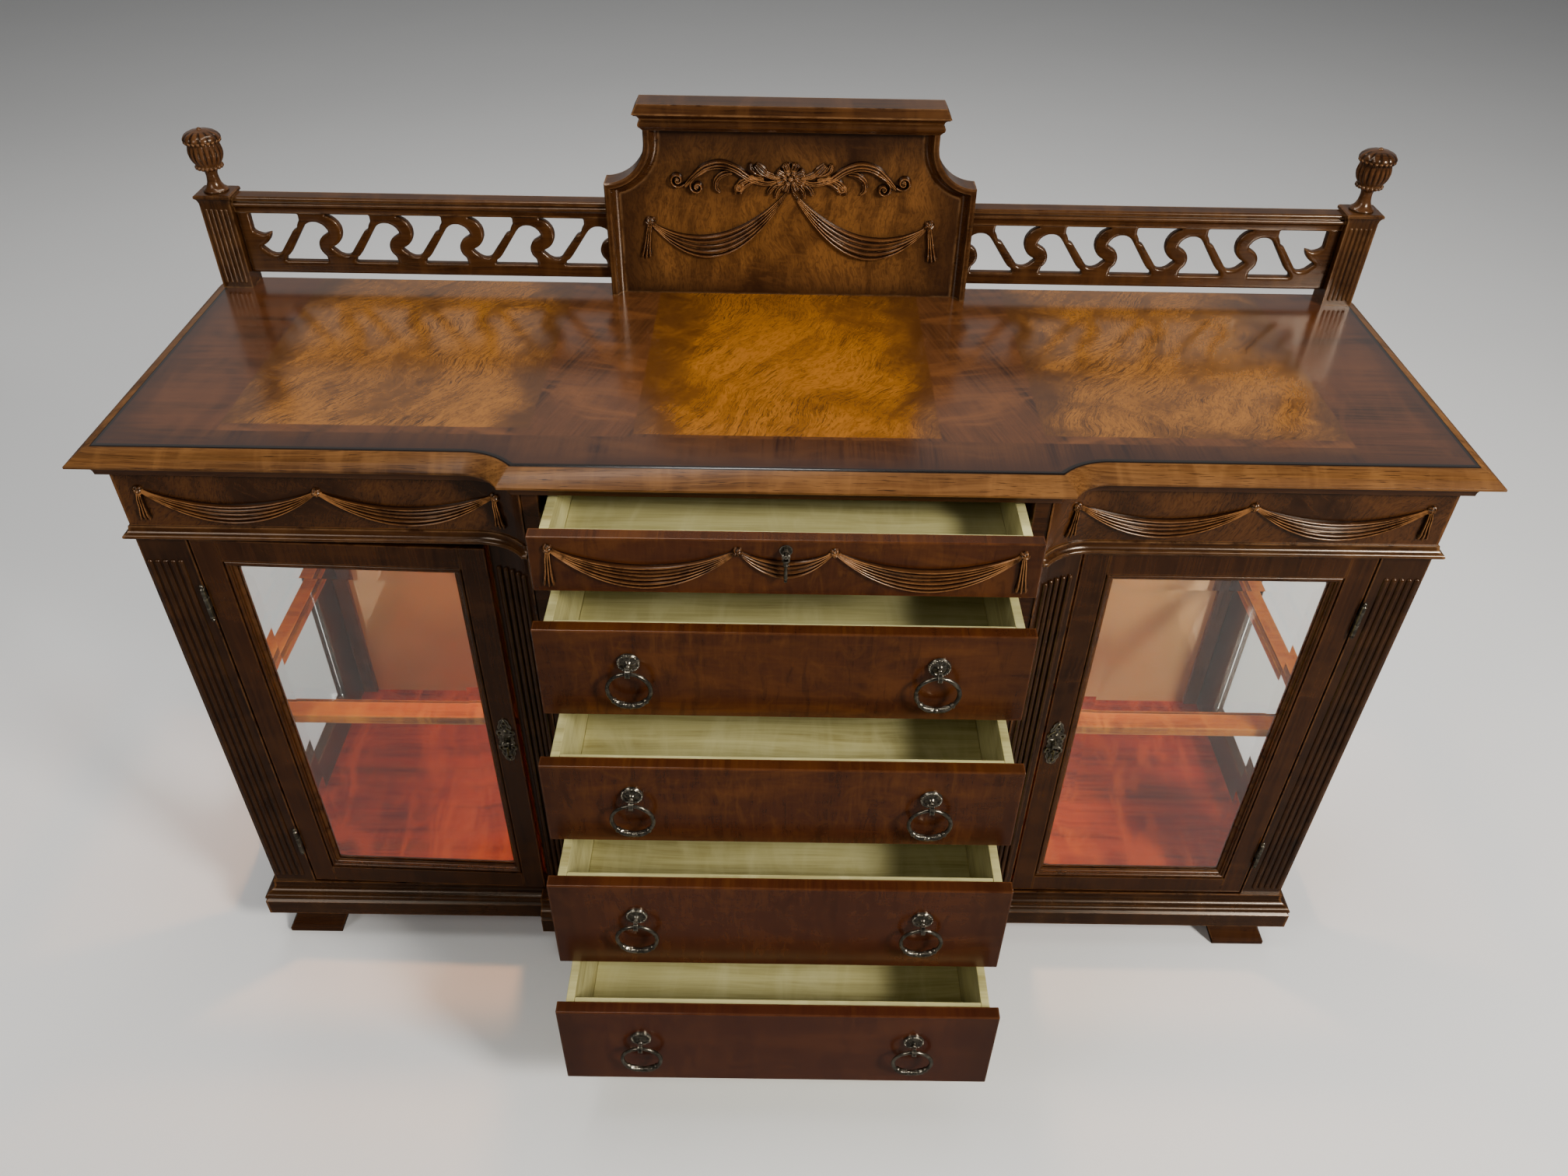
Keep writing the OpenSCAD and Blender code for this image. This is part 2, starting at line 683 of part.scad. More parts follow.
// Turned finials: a bell-shaped foot, a bead, a reeded bowl and a domed cap
module finials() {
    n = 14;
    f = finial_h / 93;
    bulge = 27 * f;
    reed_c = finial_r - 3 - bulge;
    color(dark_wood) put() pair() translate([post_x + post_w / 2, -post_d / 2, top_h + post_h + 10]) {
        rotate_extrude($fn = 64) polygon(concat([[0, 0], [18, 0], [18, 3 * f]],
            arc_pts(22, 16 * f, 13.5 * f, 255, 185, 6), [[8.5, 28 * f], [12, 33 * f]],
            arc_pts(17, 37 * f, 3.5 * f, -80, 80, 6), arc_pts(reed_c - 1, 57 * f, bulge, -38, 40, 8),
            [for (i = [0:6]) [finial_r * cos(13 * i), (77 + 12.5 * sin(13 * i)) * f]],
            arc_pts(0, 90 * f, 3 * f, 0, 90, 4)));
        for (i = [0:n - 1]) rotate([0, 0, i * 360 / n]) translate([reed_c, 0, 57 * f])
            rotate([90, 0, 0]) rotate([0, 0, -40]) rotate_extrude(angle = 80, $fn = 64)
                translate([bulge, 0]) circle(r = 2.8, $fn = 16);
    }
}

// Moulded rails along the top of the gallery
module gallery_rails() {
    z1 = top_h + grail_z;
    y0 = -post_d + 6;
    y1 = y0 + grail_d;
    section = concat([[y1, z1], [y0 + 5, z1]], arc_pts(y0 + 5, z1 - 4, 4, 90, 180, 4),
        [[y0 + 1, z1 - 6], [y0 + 3, z1 - 7]], arc_pts(y0 + 3, z1 - 12, 3.5, 100, 260, 6),
        [[y0 + 4, z1 - 18], [y0 + 5, z1 - grail_h], [y1 - 2, z1 - grail_h], [y1 - 2, z1 - 9], [y1, z1 - 7]]);
    color(dark_wood) put() pair() difference() {
        run_x(splat_hw, post_x) polygon(section);
        post_cap();
    }
}

// Openings of one scroll, measured from the foot of its bulb; the first one meets the post
module scroll_openings(first = false) {
    top = fret_h - 2;
    low = fret_h - 79;
    if (!first) polygon(concat([[-77, low], [-8, low]], arc_pts(0, 43.3, 17.7, 235, 130, 8),
        arc_pts(-19.7, 61.1, 21.6, 10, 150, 10), arc_pts(-106, 66.5, 52.8, -33.5, -47, 4),
        arc_pts(-77, 32, 7, -5, -60, 3)));
    polygon(concat([[0, top], [-2.8, 91.5]], arc_pts(-4.9, 67, 24.6, 80, -75, 12), [[0, 39.4]],
        arc_pts(19.7, 45.3, 17.7, 218, 300, 8), [[56.1, 67]], arc_pts(84, 68.5, 21, 176, 136, 4), [[69, top]]));
    if (first) polygon([[-7, top], [-7, 65], [0, 61], [7.6, 59], [24, 64], [24, top]]);
}

// Pierced boards with a running scroll, mirrored about the middle
module gallery_fretwork() {
    y1 = -post_d + 6 + grail_d - 7;
    start = post_x - 24;
    n = floor((fret_len - 20) / fret_pitch);
    color(dark_wood) put() pair() translate([0, y1, top_h + fret_z]) rotate([90, 0, 0]) linear_extrude(fret_t)
        difference() {
            translate([splat_hw, 0]) square([fret_len, fret_h]);
            intersection() {
                translate([splat_hw, 0]) square([fret_len - 10, fret_h]);
                for (i = [0:n]) translate([start - i * fret_pitch, 0]) mirror([1, 0])
                    scroll_openings(i == 0);
            }
        }
}

// Outline of the back splat, drawn inwards by t
module splat_outline(t, h) {
    difference() {
        union() {
            translate([-splat_hw + t, 0]) square([2 * (splat_hw - t), shoulder_z - t]);
            translate([-splat_hw + shoulder_r + t, 0]) square([2 * (splat_hw - shoulder_r - t), h]);
            translate([-splat_hw + t, 0]) square([2 * (splat_hw - t), shoulder_z + shoulder_r]);
        }
        for (s = [-1, 1]) translate([s * splat_hw, shoulder_z + shoulder_r]) circle(r = shoulder_r + t, $fn = 96);
        for (s = [-1, 1]) translate([s * (splat_hw + shoulder_r) - shoulder_r, shoulder_z - t])
            square([2 * shoulder_r, shoulder_r + t + 1]);
    }
}

function splat_y() = -splat_d - 8;

module splat_panel() {
    color(gold_wood) put() translate([0, -12, top_h]) rotate([90, 0, 0]) linear_extrude(splat_d - 18)
        splat_outline(splat_edge, splat_h - cornice_h);
}

// Height at which the foot and the shoulder of the moulded edge are equally deep, a distance t inside it
function mitre_z(t) = shoulder_z + shoulder_r - sqrt(pow(shoulder_r, 2) + 2 * shoulder_r * t);

// Moulded edge of the back splat, measured from its outer corner: foot, hollow shoulder and neck
module splat_frame() {
    y0 = splat_y();
    w = splat_edge;
    cz = shoulder_z + shoulder_r;
    section = concat([[0, -8], [0, y0 + 2], [2, y0], [8, y0], [9, y0 + 1.5]],
        arc_pts(w, y0 + 2, w - 10, 170, 95, 6), [[w, y0 + w - 8], [w, -8]]);
    mitre = [for (i = [0:4]) [-w * i / 4, mitre_z(w * i / 4)]];
    inner = -shoulder_r - w - 1;
    color(dark_wood) put() pair() translate([splat_hw, 0, top_h]) {
        intersection() {
            linear_extrude(shoulder_z) polygon([for (p = section) [-p[0], p[1]]]);
            run_y(2 * y0, 0) polygon(concat([[-w, 0], [0, 0]], mitre));
        }
        intersection() {
            translate([0, 0, cz]) rotate([90, 0, 0]) rotate([0, 0, 180]) rotate_extrude(angle = 108, $fn = 96)
                polygon([for (p = section) [shoulder_r + p[0], -p[1]]]);
            run_y(2 * y0, 0) polygon(concat([[inner, cz], [0, cz]], [for (p = mitre) p - [0, mitre_lap]],
                [[inner, mitre_z(w) - mitre_lap]]));
        }
        translate([0, 0, cz]) linear_extrude(splat_h - cornice_h - cz + 1)
            polygon([for (p = section) [-shoulder_r - p[0], p[1]]]);
    }
    splat_cornice();
}

// Cornice of the back splat, with moulded returns at its ends
module splat_cornice() {
    z0 = top_h + splat_h - cornice_h;
    z1 = top_h + splat_h;
    hw = splat_hw - shoulder_r;
    y0 = splat_y();
    edge = concat([[0, z0]], arc_pts(0, z0 + 9, 6, -60, 60, 5), [[2, z0 + 16]],
        arc_pts(12, z0 + 14, 9, 170, 100, 4), [[11, z1 - 14], [13, z1 - 13], [7, z1 - 1.5], [6, z1]]);
    color(dark_wood) put() intersection() {
        run_x(-splat_hw, splat_hw) polygon(concat([for (p = edge) [y0 - p[0], p[1]]], [[-8, z1], [-8, z0]]));
        run_y(2 * y0, 0) polygon(concat([for (p = edge) [hw + p[0], p[1]]], flip([for (p = edge) [hw + p[0], p[1]]])));
    }
}

// Carving on the back splat: a flower, scrolling leaves and a double swag
module splat_carving() {
    knob_x = 212;
    knob_z = 115;
    flower_z = 187;
    color(dark_wood) put() translate([0, -splat_d + 6, top_h]) {
        knob(0, flower_z, 9);
        for (i = [0:7]) knob(14.5 * cos(i * 45), flower_z + 14.5 * sin(i * 45), 7.5);
        pair() {
            leaf(88, 104, 93, 128, 52, 5);
            leaf(166, 179, 8.5, 230, -70, 4);
            leaf(139, 171, 7.5, 160, -130, 4);
            leaf(86, 160, 25, 100, -5, 5);
            leaf(58, 160, 18, 100, -5, 4.5);
            leaf(24, 214, 32, -80, -25, 8);
            leaf(22, 158, 12, 110, -10, 4);
            drape([5, 162], [knob_x - 3, knob_z - 2], 40, 74);
            knob(knob_x, knob_z, 8);
            tassel(knob_x + 1, knob_z - 5, 50, 6);
        }
    }
}

// Swags and tassels on the two friezes
module frieze_swags() {
    z = z_under - knob_in;
    x0 = cove_cx - cove_knob;
    x2 = body_hw - knob_in;
    x1 = (x0 + x2) / 2;
    color(dark_wood) put() pair() {
        translate([0, y_side, 0]) {
            drape([x0 + 4, z - 1], [x1 - 3, z - 1], 22, 46, true);
            drape([x1 + 3, z - 1], [x2 - 4, z - 1], 22, 46);
            knob(x1, z);
            knob(x2, z);
            tassel(x0, z - 5, 44, -3, true);
            tassel(x2, z - 5, 44, 3);
        }
        translate([cove_cx, cove_cy, 0]) rotate([0, 0, asin(cove_knob / cove_r)]) translate([0, cove_r - 0.4, 0])
            knob(0, z);
    }
}

// Fixed leaves and pins of the door hinges
module door_hinges() {
    color(metal) put() pair() for (z = hinge_z) {
        third = barrel_l / 3;
        for (k = [0, 2]) {
            translate([hinge_x, hinge_y, z + k * third]) cylinder(r = barrel_r, h = third - joint);
            box(outer_x - 1.2, outer_x, y_side, y_side + 20, z + k * third, z + (k + 1) * third - joint);
            box(outer_x - 1.2, hinge_x, hinge_y, y_side, z + k * third, z + (k + 1) * third - joint);
        }
        translate([hinge_x, hinge_y, z]) cylinder(r = pin_r, h = barrel_l - joint, $fn = 24);
        for (e = [[z - joint, 180], [z + barrel_l - joint * 2, 0]]) translate([hinge_x, hinge_y, e[0]])
            rotate([e[1], 0, 0]) rotate_extrude() polygon([[0, 0], [3.2, 0], [3.4, 1.5], [1.8, 3], [3, 5], [2.6, 7],
                [1, 8.5], [0, 9]]);
    }
}

// Turns what hangs on a door about the right-hand hinge
module swung(angle) translate([hinge_x, hinge_y, 0]) rotate([0, 0, angle]) translate([-hinge_x, -hinge_y, 0])
    children();
module on_door(left) {
    put() if (left) mirror([1, 0, 0]) swung(left_ajar) children();
    else children();
}

// Stiles, rails and the mitred bead that holds the glass
module door_frame(left) {
    x0 = door_x0 + stile_w;
    x1 = door_x1 - stile_w;
    z0 = door_z0 + stile_w;
    z1 = door_z1 - stile_w;
    y0 = door_y;
    y1 = door_y + frame_t;
    gy = door_y + 9;
    groove = 6;
    section = concat([[joint, y0 + 3]], arc_pts(4, y0 + 3, 2.8, 180, 360, 6),
        arc_pts(bead_w, y0 + 3, bead_w - 8.6, 180, 95, 5),
        [[bead_w, gy - pane_gap / 2], [bead_w - groove, gy - pane_gap / 2],
         [bead_w - groove, gy + glass_t + pane_gap / 2], [bead_w, gy + glass_t + pane_gap / 2],
         [bead_w, y1 - 3], [joint, y1 - 3]]);
    color(red_wood) on_door(left) {
        box(door_x0, x0, y0, y1, door_z0, door_z1);
        box(x1, door_x1, y0, y1, door_z0, door_z1);
        box(x0 + joint, x1 - joint, y0, y1, door_z0, z0);
        box(x0 + joint, x1 - joint, y0, y1, z1, door_z1);
        bar_frame(x0, x1, z0, z1, section, bead_w);
    }
}

// A pane with a wide bevel on its front
module door_glass(left) {
    inset = stile_w + bead_w - 6 + pane_gap;
    x0 = door_x0 + inset;
    x1 = door_x1 - inset;
    z0 = door_z0 + inset;
    z1 = door_z1 - inset;
    gy = door_y + 9;
    b = glass_bevel + 6;
    d = glass_t / 2.5;
    color(clear) on_door(left) intersection() {
        translate([0, 0, z0]) linear_extrude(z1 - z0)
            polygon([[x0, gy + d], [x0 + b, gy], [x1 - b, gy], [x1, gy + d], [x1, gy + glass_t], [x0, gy + glass_t]]);
        run_x(x0, x1)
            polygon([[gy + d, z0], [gy, z0 + b], [gy, z1 - b], [gy + d, z1], [gy + glass_t, z1], [gy + glass_t, z0]]);
    }
}

// Moving hinge leaves, and a pierced lock plate with its pin
module door_fittings(left) {
    x = door_x0 + stile_w / 2;
    z = door_mid_z;
    third = barrel_l / 3;
    color(metal) on_door(left) {
        for (h = hinge_z) difference() {
            union() {
                translate([hinge_x, hinge_y, h + third + joint]) cylinder(r = barrel_r, h = third - 3 * joint);
                box(door_x1, door_x1 + 1.2, door_y, door_y + 20, h + third + joint, h + 2 * third - 2 * joint);
                box(door_x1, hinge_x, hinge_y - 1, hinge_y + 1, h + third + joint, h + 2 * third - 2 * joint);
                box(door_x1, door_x1 + 1.2, hinge_y, door_y + 1, h + third + joint, h + 2 * third - 2 * joint);
            }
            translate([hinge_x, hinge_y, h]) cylinder(r = pin_r + pin_gap, h = barrel_l, $fn = 24);
        }
        lock_plate(x, z);
        drop_post(x, door_y - 2, z);
    }
}

// Plate outline of stacked scrolls, pierced between them
module lock_plate(x, z) {
    w = plate_w / 2;
    u = plate_l / 92;
    translate([x, door_y, z]) rotate([90, 0, 0]) linear_extrude(2) difference() {
        union() {
            for (s = [-1, 1]) scale([1, s]) {
                translate([-w * 0.62, 0]) square([w * 1.24, 30 * u]);
                translate([0, 38 * u]) circle(r = 7.5);
                translate([0, 28 * u]) circle(r = w * 0.72);
                for (t = [-1, 1]) {
                    translate([t * w * 0.55, 16 * u]) circle(r = w * 0.45);
                    translate([t * w * 0.45, 5 * u]) circle(r = w * 0.4);
                }
            }
        }
        for (s = [-1, 1]) {
            translate([0, s * 37 * u]) circle(r = 3.4);
            for (t = [-1, 1]) {
                translate([t * w * 0.6, s * 16 * u]) circle(r = 2.6);
                translate([t * w * 0.34, s * 26.5 * u]) circle(r = 2.4);
            }
        }
    }
}

// Post and cross pin that a drop pull hangs from; y is the plate's face
module drop_post(x, y, z) {
    translate([x, y, z]) rotate([90, 0, 0]) cylinder(r = 4.5, h = 2, $fn = 32);
    translate([x, y - 1, z]) rotate([90, 0, 0]) cylinder(r = 2.4, h = 8, $fn = 24);
    translate([x - 5.4, y - 7, z]) rotate([0, 90, 0]) cylinder(r = 1.2, h = 10.8, $fn = 24);
}

// A turned drop with two ears on the cross pin
module drop(x, y, z, length) {
    py = y - 7;
    ear = 2;
    difference() {
        union() {
            for (s = [-1, 1]) translate([x + s * (2.7 + ear / 2) - ear / 2, py, z]) rotate([0, 90, 0])
                cylinder(r = 2.6, h = ear, $fn = 24);
            for (s = [-1, 1]) box(x + s * (2.7 + ear / 2) - ear / 2, x + s * (2.7 + ear / 2) + ear / 2,
                py - 1.6, py + 1.6, z - 6, z);
            translate([x, py, z - length]) rotate_extrude($fn = 32) polygon([[0, 0], [1.6, 0.6], [2.4, 2.5],
                [1.6, 4.5], [2.6, 7], [2.2, 0.45 * length], [1.8, 0.6 * length], [3.2, 0.66 * length],
                [3.6, 0.7 * length], [2.6, 0.75 * length], [4.6, length - 7.5], [4.7, length - 5], [0, length - 5]]);
        }
        translate([x - 8, py, z]) rotate([0, 90, 0]) cylinder(r = 1.2 + pin_gap, h = 16, $fn = 24);
        translate([x, py + 6, z]) rotate([90, 0, 0]) cylinder(r = 2.4 + pin_gap, h = 12, $fn = 24);
    }
}

// What belongs to drawer i, moved to where the drawer stands
module on_drawer(i) put() translate([0, -opens[i], 0]) children();

module drawer_front(i) {
    c = 1.2;
    x = front_w / 2;
    y = y_mid;
    z0 = front_z[i];
    z1 = z0 + front_h[i];
    color(red_wood) on_drawer(i) intersection() {
        translate([0, 0, z0]) linear_extrude(z1 - z0)
            polygon([[-x, y + c], [-x + c, y], [x - c, y], [x, y + c], [x, y + front_t], [-x, y + front_t]]);
        run_x(-x, x) polygon([[y + c, z0], [y, z0 + c], [y, z1 - c], [y + c, z1], [y + front_t, z1], [y + front_t, z0]]);
    }
}

// Sides, back and bottom of a drawer, as separate boards
module drawer_box(i) {
    x = box_w / 2;
    y0 = y_mid + front_t;
    y1 = y0 + box_l;
    z0 = front_z[i] - reveal + slide_gap;
    z1 = front_z[i] + front_h[i] - box_drop;
    color(pale_wood) on_drawer(i) {
        pair() box(x - side_t, x, y0, y1, z0, z1);
        box(-x + side_t + joint, x - side_t - joint, y1 - side_t, y1, z0 + 10 + bottom_t + joint, z1 - 4);
        box(-x + side_t + joint, x - side_t - joint, y0, y0 + side_t, z0 + 10 + bottom_t + joint, z1);
        box(-x + side_t + joint, x - side_t - joint, y0, y1, z0 + 10, z0 + 10 + bottom_t);
    }
}

function pull_z(i) = front_z[i] + front_h[i] * (1 - pull_up);

// Rosettes with the post and eye that hold a ring
module pull_plate(i) {
    eye_bore = ring_t / 2 + 0.5;
    color(metal) on_drawer(i) pair() translate([pull_x, y_mid, pull_z(i)]) {
        rotate([90, 0, 0]) rotate_extrude($fn = 64) polygon([[0, 0], [rosette_d / 2, 0], [rosette_d / 2, 2],
            [rosette_d / 2 - 1.5, 4], [rosette_d / 2 - 4, 4], [rosette_d / 2 - 5, 3], [6, 4.5], [4, 7], [0, 7]]);
        difference() {
            union() {
                rotate([90, 0, 0]) cylinder(r = 3.2, h = pivot_out - 5, $fn = 24);
                translate([0, -pivot_out + 5, 0]) sphere(r = 3.6, $fn = 24);
                translate([-2.6, -pivot_out - 1, -pull_drop]) cube([5.2, 5, pull_drop + 2]);
                translate([-eye_l / 2, -pivot_out, -pull_drop]) rotate([0, 90, 0]) cylinder(r = eye_r, h = eye_l);
            }
            translate([-eye_l, -pivot_out, -pull_drop]) rotate([0, 90, 0]) cylinder(r = eye_bore, h = 2 * eye_l);
        }
    }
}

// A hanging ring with a thicker, leafy lower part; s is the side
module pull_ring(i, s) {
    color(metal) on_drawer(i)
        translate([s * pull_x, y_mid - pivot_out, pull_z(i) - pull_drop - ring_c]) rotate([90, 0, 0]) {
            rotate_extrude($fn = 96) translate([ring_c, 0]) circle(r = ring_t / 2, $fn = 24);
            rotate([0, 0, -90 - 42]) rotate_extrude(angle = 84, $fn = 96)
                translate([ring_c, 0]) circle(r = ring_t / 2 + 1.1, $fn = 24);
            for (a = [-138, -90, -42]) rotate([0, 0, a]) translate([ring_c + 0.8, 0, 0]) sphere(r = 4, $fn = 24);
        }
}

module drawer_1_swags() {
    z = front_z[0] + front_h[0] - 17;
    outer = front_w / 2 - front_knob_in;
    inner = front_knob_x;
    color(dark_wood) on_drawer(0) translate([0, y_mid, 0]) {
        pair() {
            drape([inner + 3, z - 1], [outer - 3, z - 1], 25, 55);
            knob(inner, z);
            knob(outer, z);
            tassel(outer, z - 5, 54, 3);
        }
        drape([-inner + 3, z - 1], [inner - 3, z - 1], 14, 34);
    }
}

module drawer_1_plate() {
    z = front_z[0] + front_h[0] - 14;
    color(metal) on_drawer(0) {
        translate([0, y_mid, z]) rotate([90, 0, 0]) cylinder(r = 8, h = 2, $fn = 32);
        drop_post(0, y_mid - 7, z);
        translate([0, y_mid - 2, z]) rotate([90, 0, 0]) cylinder(r = 4, h = 5, $fn = 32);
    }
}

top_board();
side_friezes();
waist_mouldings();
outer_pilasters();
inner_pilasters();
face_frame();
side_frames();
cabinet_panes();
back_panel();
mirrors();
cabinet_walls();
bottom_board();
plinth();
feet();
drawer_runners();
shelf_frames();
shelf_pins();
cabinet_lights();
gallery_posts();
finials();
gallery_rails();
gallery_fretwork();
splat_panel();
splat_frame();
splat_carving();
frieze_swags();
door_hinges();
door_frame(true);  // left_door_frame
door_glass(true);  // left_door_glass
door_fittings(true);  // left_door_fittings
color(metal) on_door(true) drop(door_x0 + stile_w / 2, door_y - 2, door_mid_z, drop_l * 0.7);  // left_door_drop
door_frame(false);  // right_door_frame
door_glass(false);  // right_door_glass
door_fittings(false);  // right_door_fittings
color(metal) on_door(false) drop(door_x0 + stile_w / 2, door_y - 2, door_mid_z, drop_l * 0.7);  // right_door_drop
drawer_front(0);  // drawer_1_front
drawer_box(0);  // drawer_1_box
drawer_1_swags();
drawer_1_plate();
color(metal) on_drawer(0) drop(0, y_mid - 7, front_z[0] + front_h[0] - 14, drop_l);  // drawer_1_drop
drawer_front(1);  // drawer_2_front
drawer_box(1);  // drawer_2_box
pull_plate(1);  // drawer_2_plates
pull_ring(1, -1);  // drawer_2_left_ring
pull_ring(1, 1);  // drawer_2_right_ring
drawer_front(2);  // drawer_3_front
drawer_box(2);  // drawer_3_box
pull_plate(2);  // drawer_3_plates
pull_ring(2, -1);  // drawer_3_left_ring
pull_ring(2, 1);  // drawer_3_right_ring
drawer_front(3);  // drawer_4_front
drawer_box(3);  // drawer_4_box
pull_plate(3);  // drawer_4_plates
pull_ring(3, -1);  // drawer_4_left_ring
pull_ring(3, 1);  // drawer_4_right_ring
drawer_front(4);  // drawer_5_front
drawer_box(4);  // drawer_5_box
pull_plate(4);  // drawer_5_plates
pull_ring(4, -1);  // drawer_5_left_ring
pull_ring(4, 1);  // drawer_5_right_ring
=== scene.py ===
from math import copysign, cos, degrees, pi, radians, sin, sqrt

import bpy
from mathutils import Matrix, Vector


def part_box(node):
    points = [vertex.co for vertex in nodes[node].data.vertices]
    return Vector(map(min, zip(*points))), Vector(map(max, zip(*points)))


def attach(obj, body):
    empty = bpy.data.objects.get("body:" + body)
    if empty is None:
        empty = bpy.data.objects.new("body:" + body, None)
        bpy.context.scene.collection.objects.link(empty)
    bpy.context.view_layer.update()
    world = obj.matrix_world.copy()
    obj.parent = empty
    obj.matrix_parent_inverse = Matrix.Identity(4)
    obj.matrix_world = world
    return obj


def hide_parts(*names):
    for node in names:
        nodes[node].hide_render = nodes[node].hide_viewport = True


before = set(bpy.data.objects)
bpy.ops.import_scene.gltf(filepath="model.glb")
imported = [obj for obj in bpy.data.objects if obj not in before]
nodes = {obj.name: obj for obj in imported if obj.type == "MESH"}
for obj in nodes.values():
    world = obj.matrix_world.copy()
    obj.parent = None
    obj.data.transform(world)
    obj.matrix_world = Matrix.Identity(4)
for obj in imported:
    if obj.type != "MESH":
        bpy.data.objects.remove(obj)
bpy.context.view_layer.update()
materials = {}
print("frame loaded")
quarterTurn = radians(90)
colour = "NodeSocketColor"
number = "NodeSocketFloat"
vector = "NodeSocketVector"


class Graph:
    # Short calls for building a node tree
    def __init__(self, tree):
        self.tree = tree

    def add(self, kind, **settings):
        made = self.tree.nodes.new(kind)
        for key, value in settings.items():
            setattr(made, key, value)
        return made

    def feed(self, socket, value):
        if isinstance(value, bpy.types.NodeSocket):
            self.tree.links.new(value, socket)
        elif value is not None:
            socket.default_value = (*value, 1) if socket.type == "RGBA" else value

    def fill(self, shader, values):
        for label, value in values.items():
            self.feed(shader.inputs[label], value)

    def math(self, operation, first, second=None, clamp=False):
        made = self.add("ShaderNodeMath", operation=operation, use_clamp=clamp)
        self.feed(made.inputs[0], first)
        self.feed(made.inputs[1], second)
        return made.outputs[0]

    def times(self, first, second):
        return self.math("MULTIPLY", first, second)

    def plus(self, first, second):
        return self.math("ADD", first, second)

    def minus(self, first, second):
        return self.math("SUBTRACT", first, second)

    def vector(self, operation, first, second=None):
        made = self.add("ShaderNodeVectorMath", operation=operation)
        self.feed(made.inputs[0], first)
        if second is not None:
            self.feed(made.inputs[1], second)
        return made.outputs["Value"] if operation in ("LENGTH", "DISTANCE",
            "DOT_PRODUCT") else made.outputs[0]

    def mix(self, factor, first, second, blend="MIX"):
        made = self.add("ShaderNodeMix", data_type="RGBA", blend_type=blend)
        self.feed(made.inputs["Factor"], factor)
        self.feed(made.inputs["A"], first)
        self.feed(made.inputs["B"], second)
        return made.outputs["Result"]

    def lay(self, under, over, mask, low, high, amount):
        # The colour over shows where the mask rises from low to high
        return self.mix(self.times(self.steps(mask, low, high), amount), under, over)

    def mirroredRay(self):
        # 1 for a ray whose last turn was a reflection, 0 for one that came straight or through glass
        path = self.add("ShaderNodeLightPath").outputs
        return self.math("SUBTRACT", path["Is Glossy Ray"], path["Is Transmission Ray"], clamp=True)

    def noise(self, vector, scale, detail=4.0, rough=0.55, warp=0.0, stretch=None, turn=(0, 0, 0),
            start=(0, 0, 0)):
        if stretch:
            vector = self.mapping(vector, start, turn, stretch)
        made = self.add("ShaderNodeTexNoise")
        self.feed(made.inputs["Vector"], vector)
        self.feed(made.inputs["Scale"], scale)
        self.feed(made.inputs["Detail"], detail)
        self.feed(made.inputs["Roughness"], rough)
        self.feed(made.inputs["Distortion"], warp)
        return made.outputs["Fac"]

    def steps(self, value, low, high, clamp=True):
        made = self.add("ShaderNodeMapRange", interpolation_type="SMOOTHSTEP", clamp=clamp)
        self.feed(made.inputs["Value"], value)
        self.feed(made.inputs["From Min"], low)
        self.feed(made.inputs["From Max"], high)
        return made.outputs["Result"]

    def mapping(self, vector, location=(0, 0, 0), rotation=(0, 0, 0), scale=(1, 1, 1)):
        made = self.add("ShaderNodeMapping")
        self.feed(made.inputs["Vector"], vector)
        made.inputs["Location"].default_value = location
        made.inputs["Rotation"].default_value = rotation
        made.inputs["Scale"].default_value = scale
        return made.outputs[0]

    def group(self, name, **values):
        made = self.add("ShaderNodeGroup", node_tree=bpy.data.node_groups[name])
        for key, value in values.items():
            self.feed(made.inputs[key], value)
        return made.outputs

    def grain(self, vector, dark, mid, light, figure, pores):
        return self.group("StraightGrain", Vector=vector, Dark=dark, Mid=mid, Light=light, Figure=figure,
            Pores=pores)

    def swirl(self, vector, gold, brown, dark, streaks):
        return self.group("SwirlFigure", Vector=vector, Gold=gold, Brown=brown, Dark=dark, Streaks=streaks)

    def handled(self, vector, rough, amount):
        return self.group("HandledFinish", Vector=vector, Roughness=rough, Amount=amount)["Roughness"]

    def box(self, vector, across, along, halfAcross, halfAlong, softness=0.002):
        return self.group("SoftBox", **{"Vector": vector, "Centre X": across, "Centre Y": along,
            "Half X": halfAcross, "Half Y": halfAlong, "Softness": softness})

    def shaded(self, colour, distance, width, shade, amount):
        return self.group("ShadedEdge", Colour=colour, Distance=distance, Width=width, Shade=shade,
            Amount=amount)["Colour"]

    def split(self, vector):
        made = self.add("ShaderNodeSeparateXYZ")
        self.feed(made.inputs[0], vector)
        return made.outputs

    def join(self, x, y, z):
        made = self.add("ShaderNodeCombineXYZ")
        for index, value in enumerate((x, y, z)):
            self.feed(made.inputs[index], value)
        return made.outputs[0]


def newGroup(name, inputs, outputs):
    tree = bpy.data.node_groups.new(name, "ShaderNodeTree")
    for label, kind, value in inputs:
        socket = tree.interface.new_socket(name=label, in_out="INPUT", socket_type=kind)
        if value is not None:
            socket.default_value = (*value, 1) if kind == colour else value
    for label, kind in outputs:
        tree.interface.new_socket(name=label, in_out="OUTPUT", socket_type=kind)
    graph = Graph(tree)
    return graph, graph.add("NodeGroupInput").outputs, graph.add("NodeGroupOutput").inputs


def newMaterial(name):
    material = bpy.data.materials.new(name)
    materials[name] = material
    material.use_nodes = True
    graph = Graph(material.node_tree)
    shader = material.node_tree.nodes["Principled BSDF"]
    place = graph.add("ShaderNodeTexCoord").outputs["Object"]
    return graph, shader, place


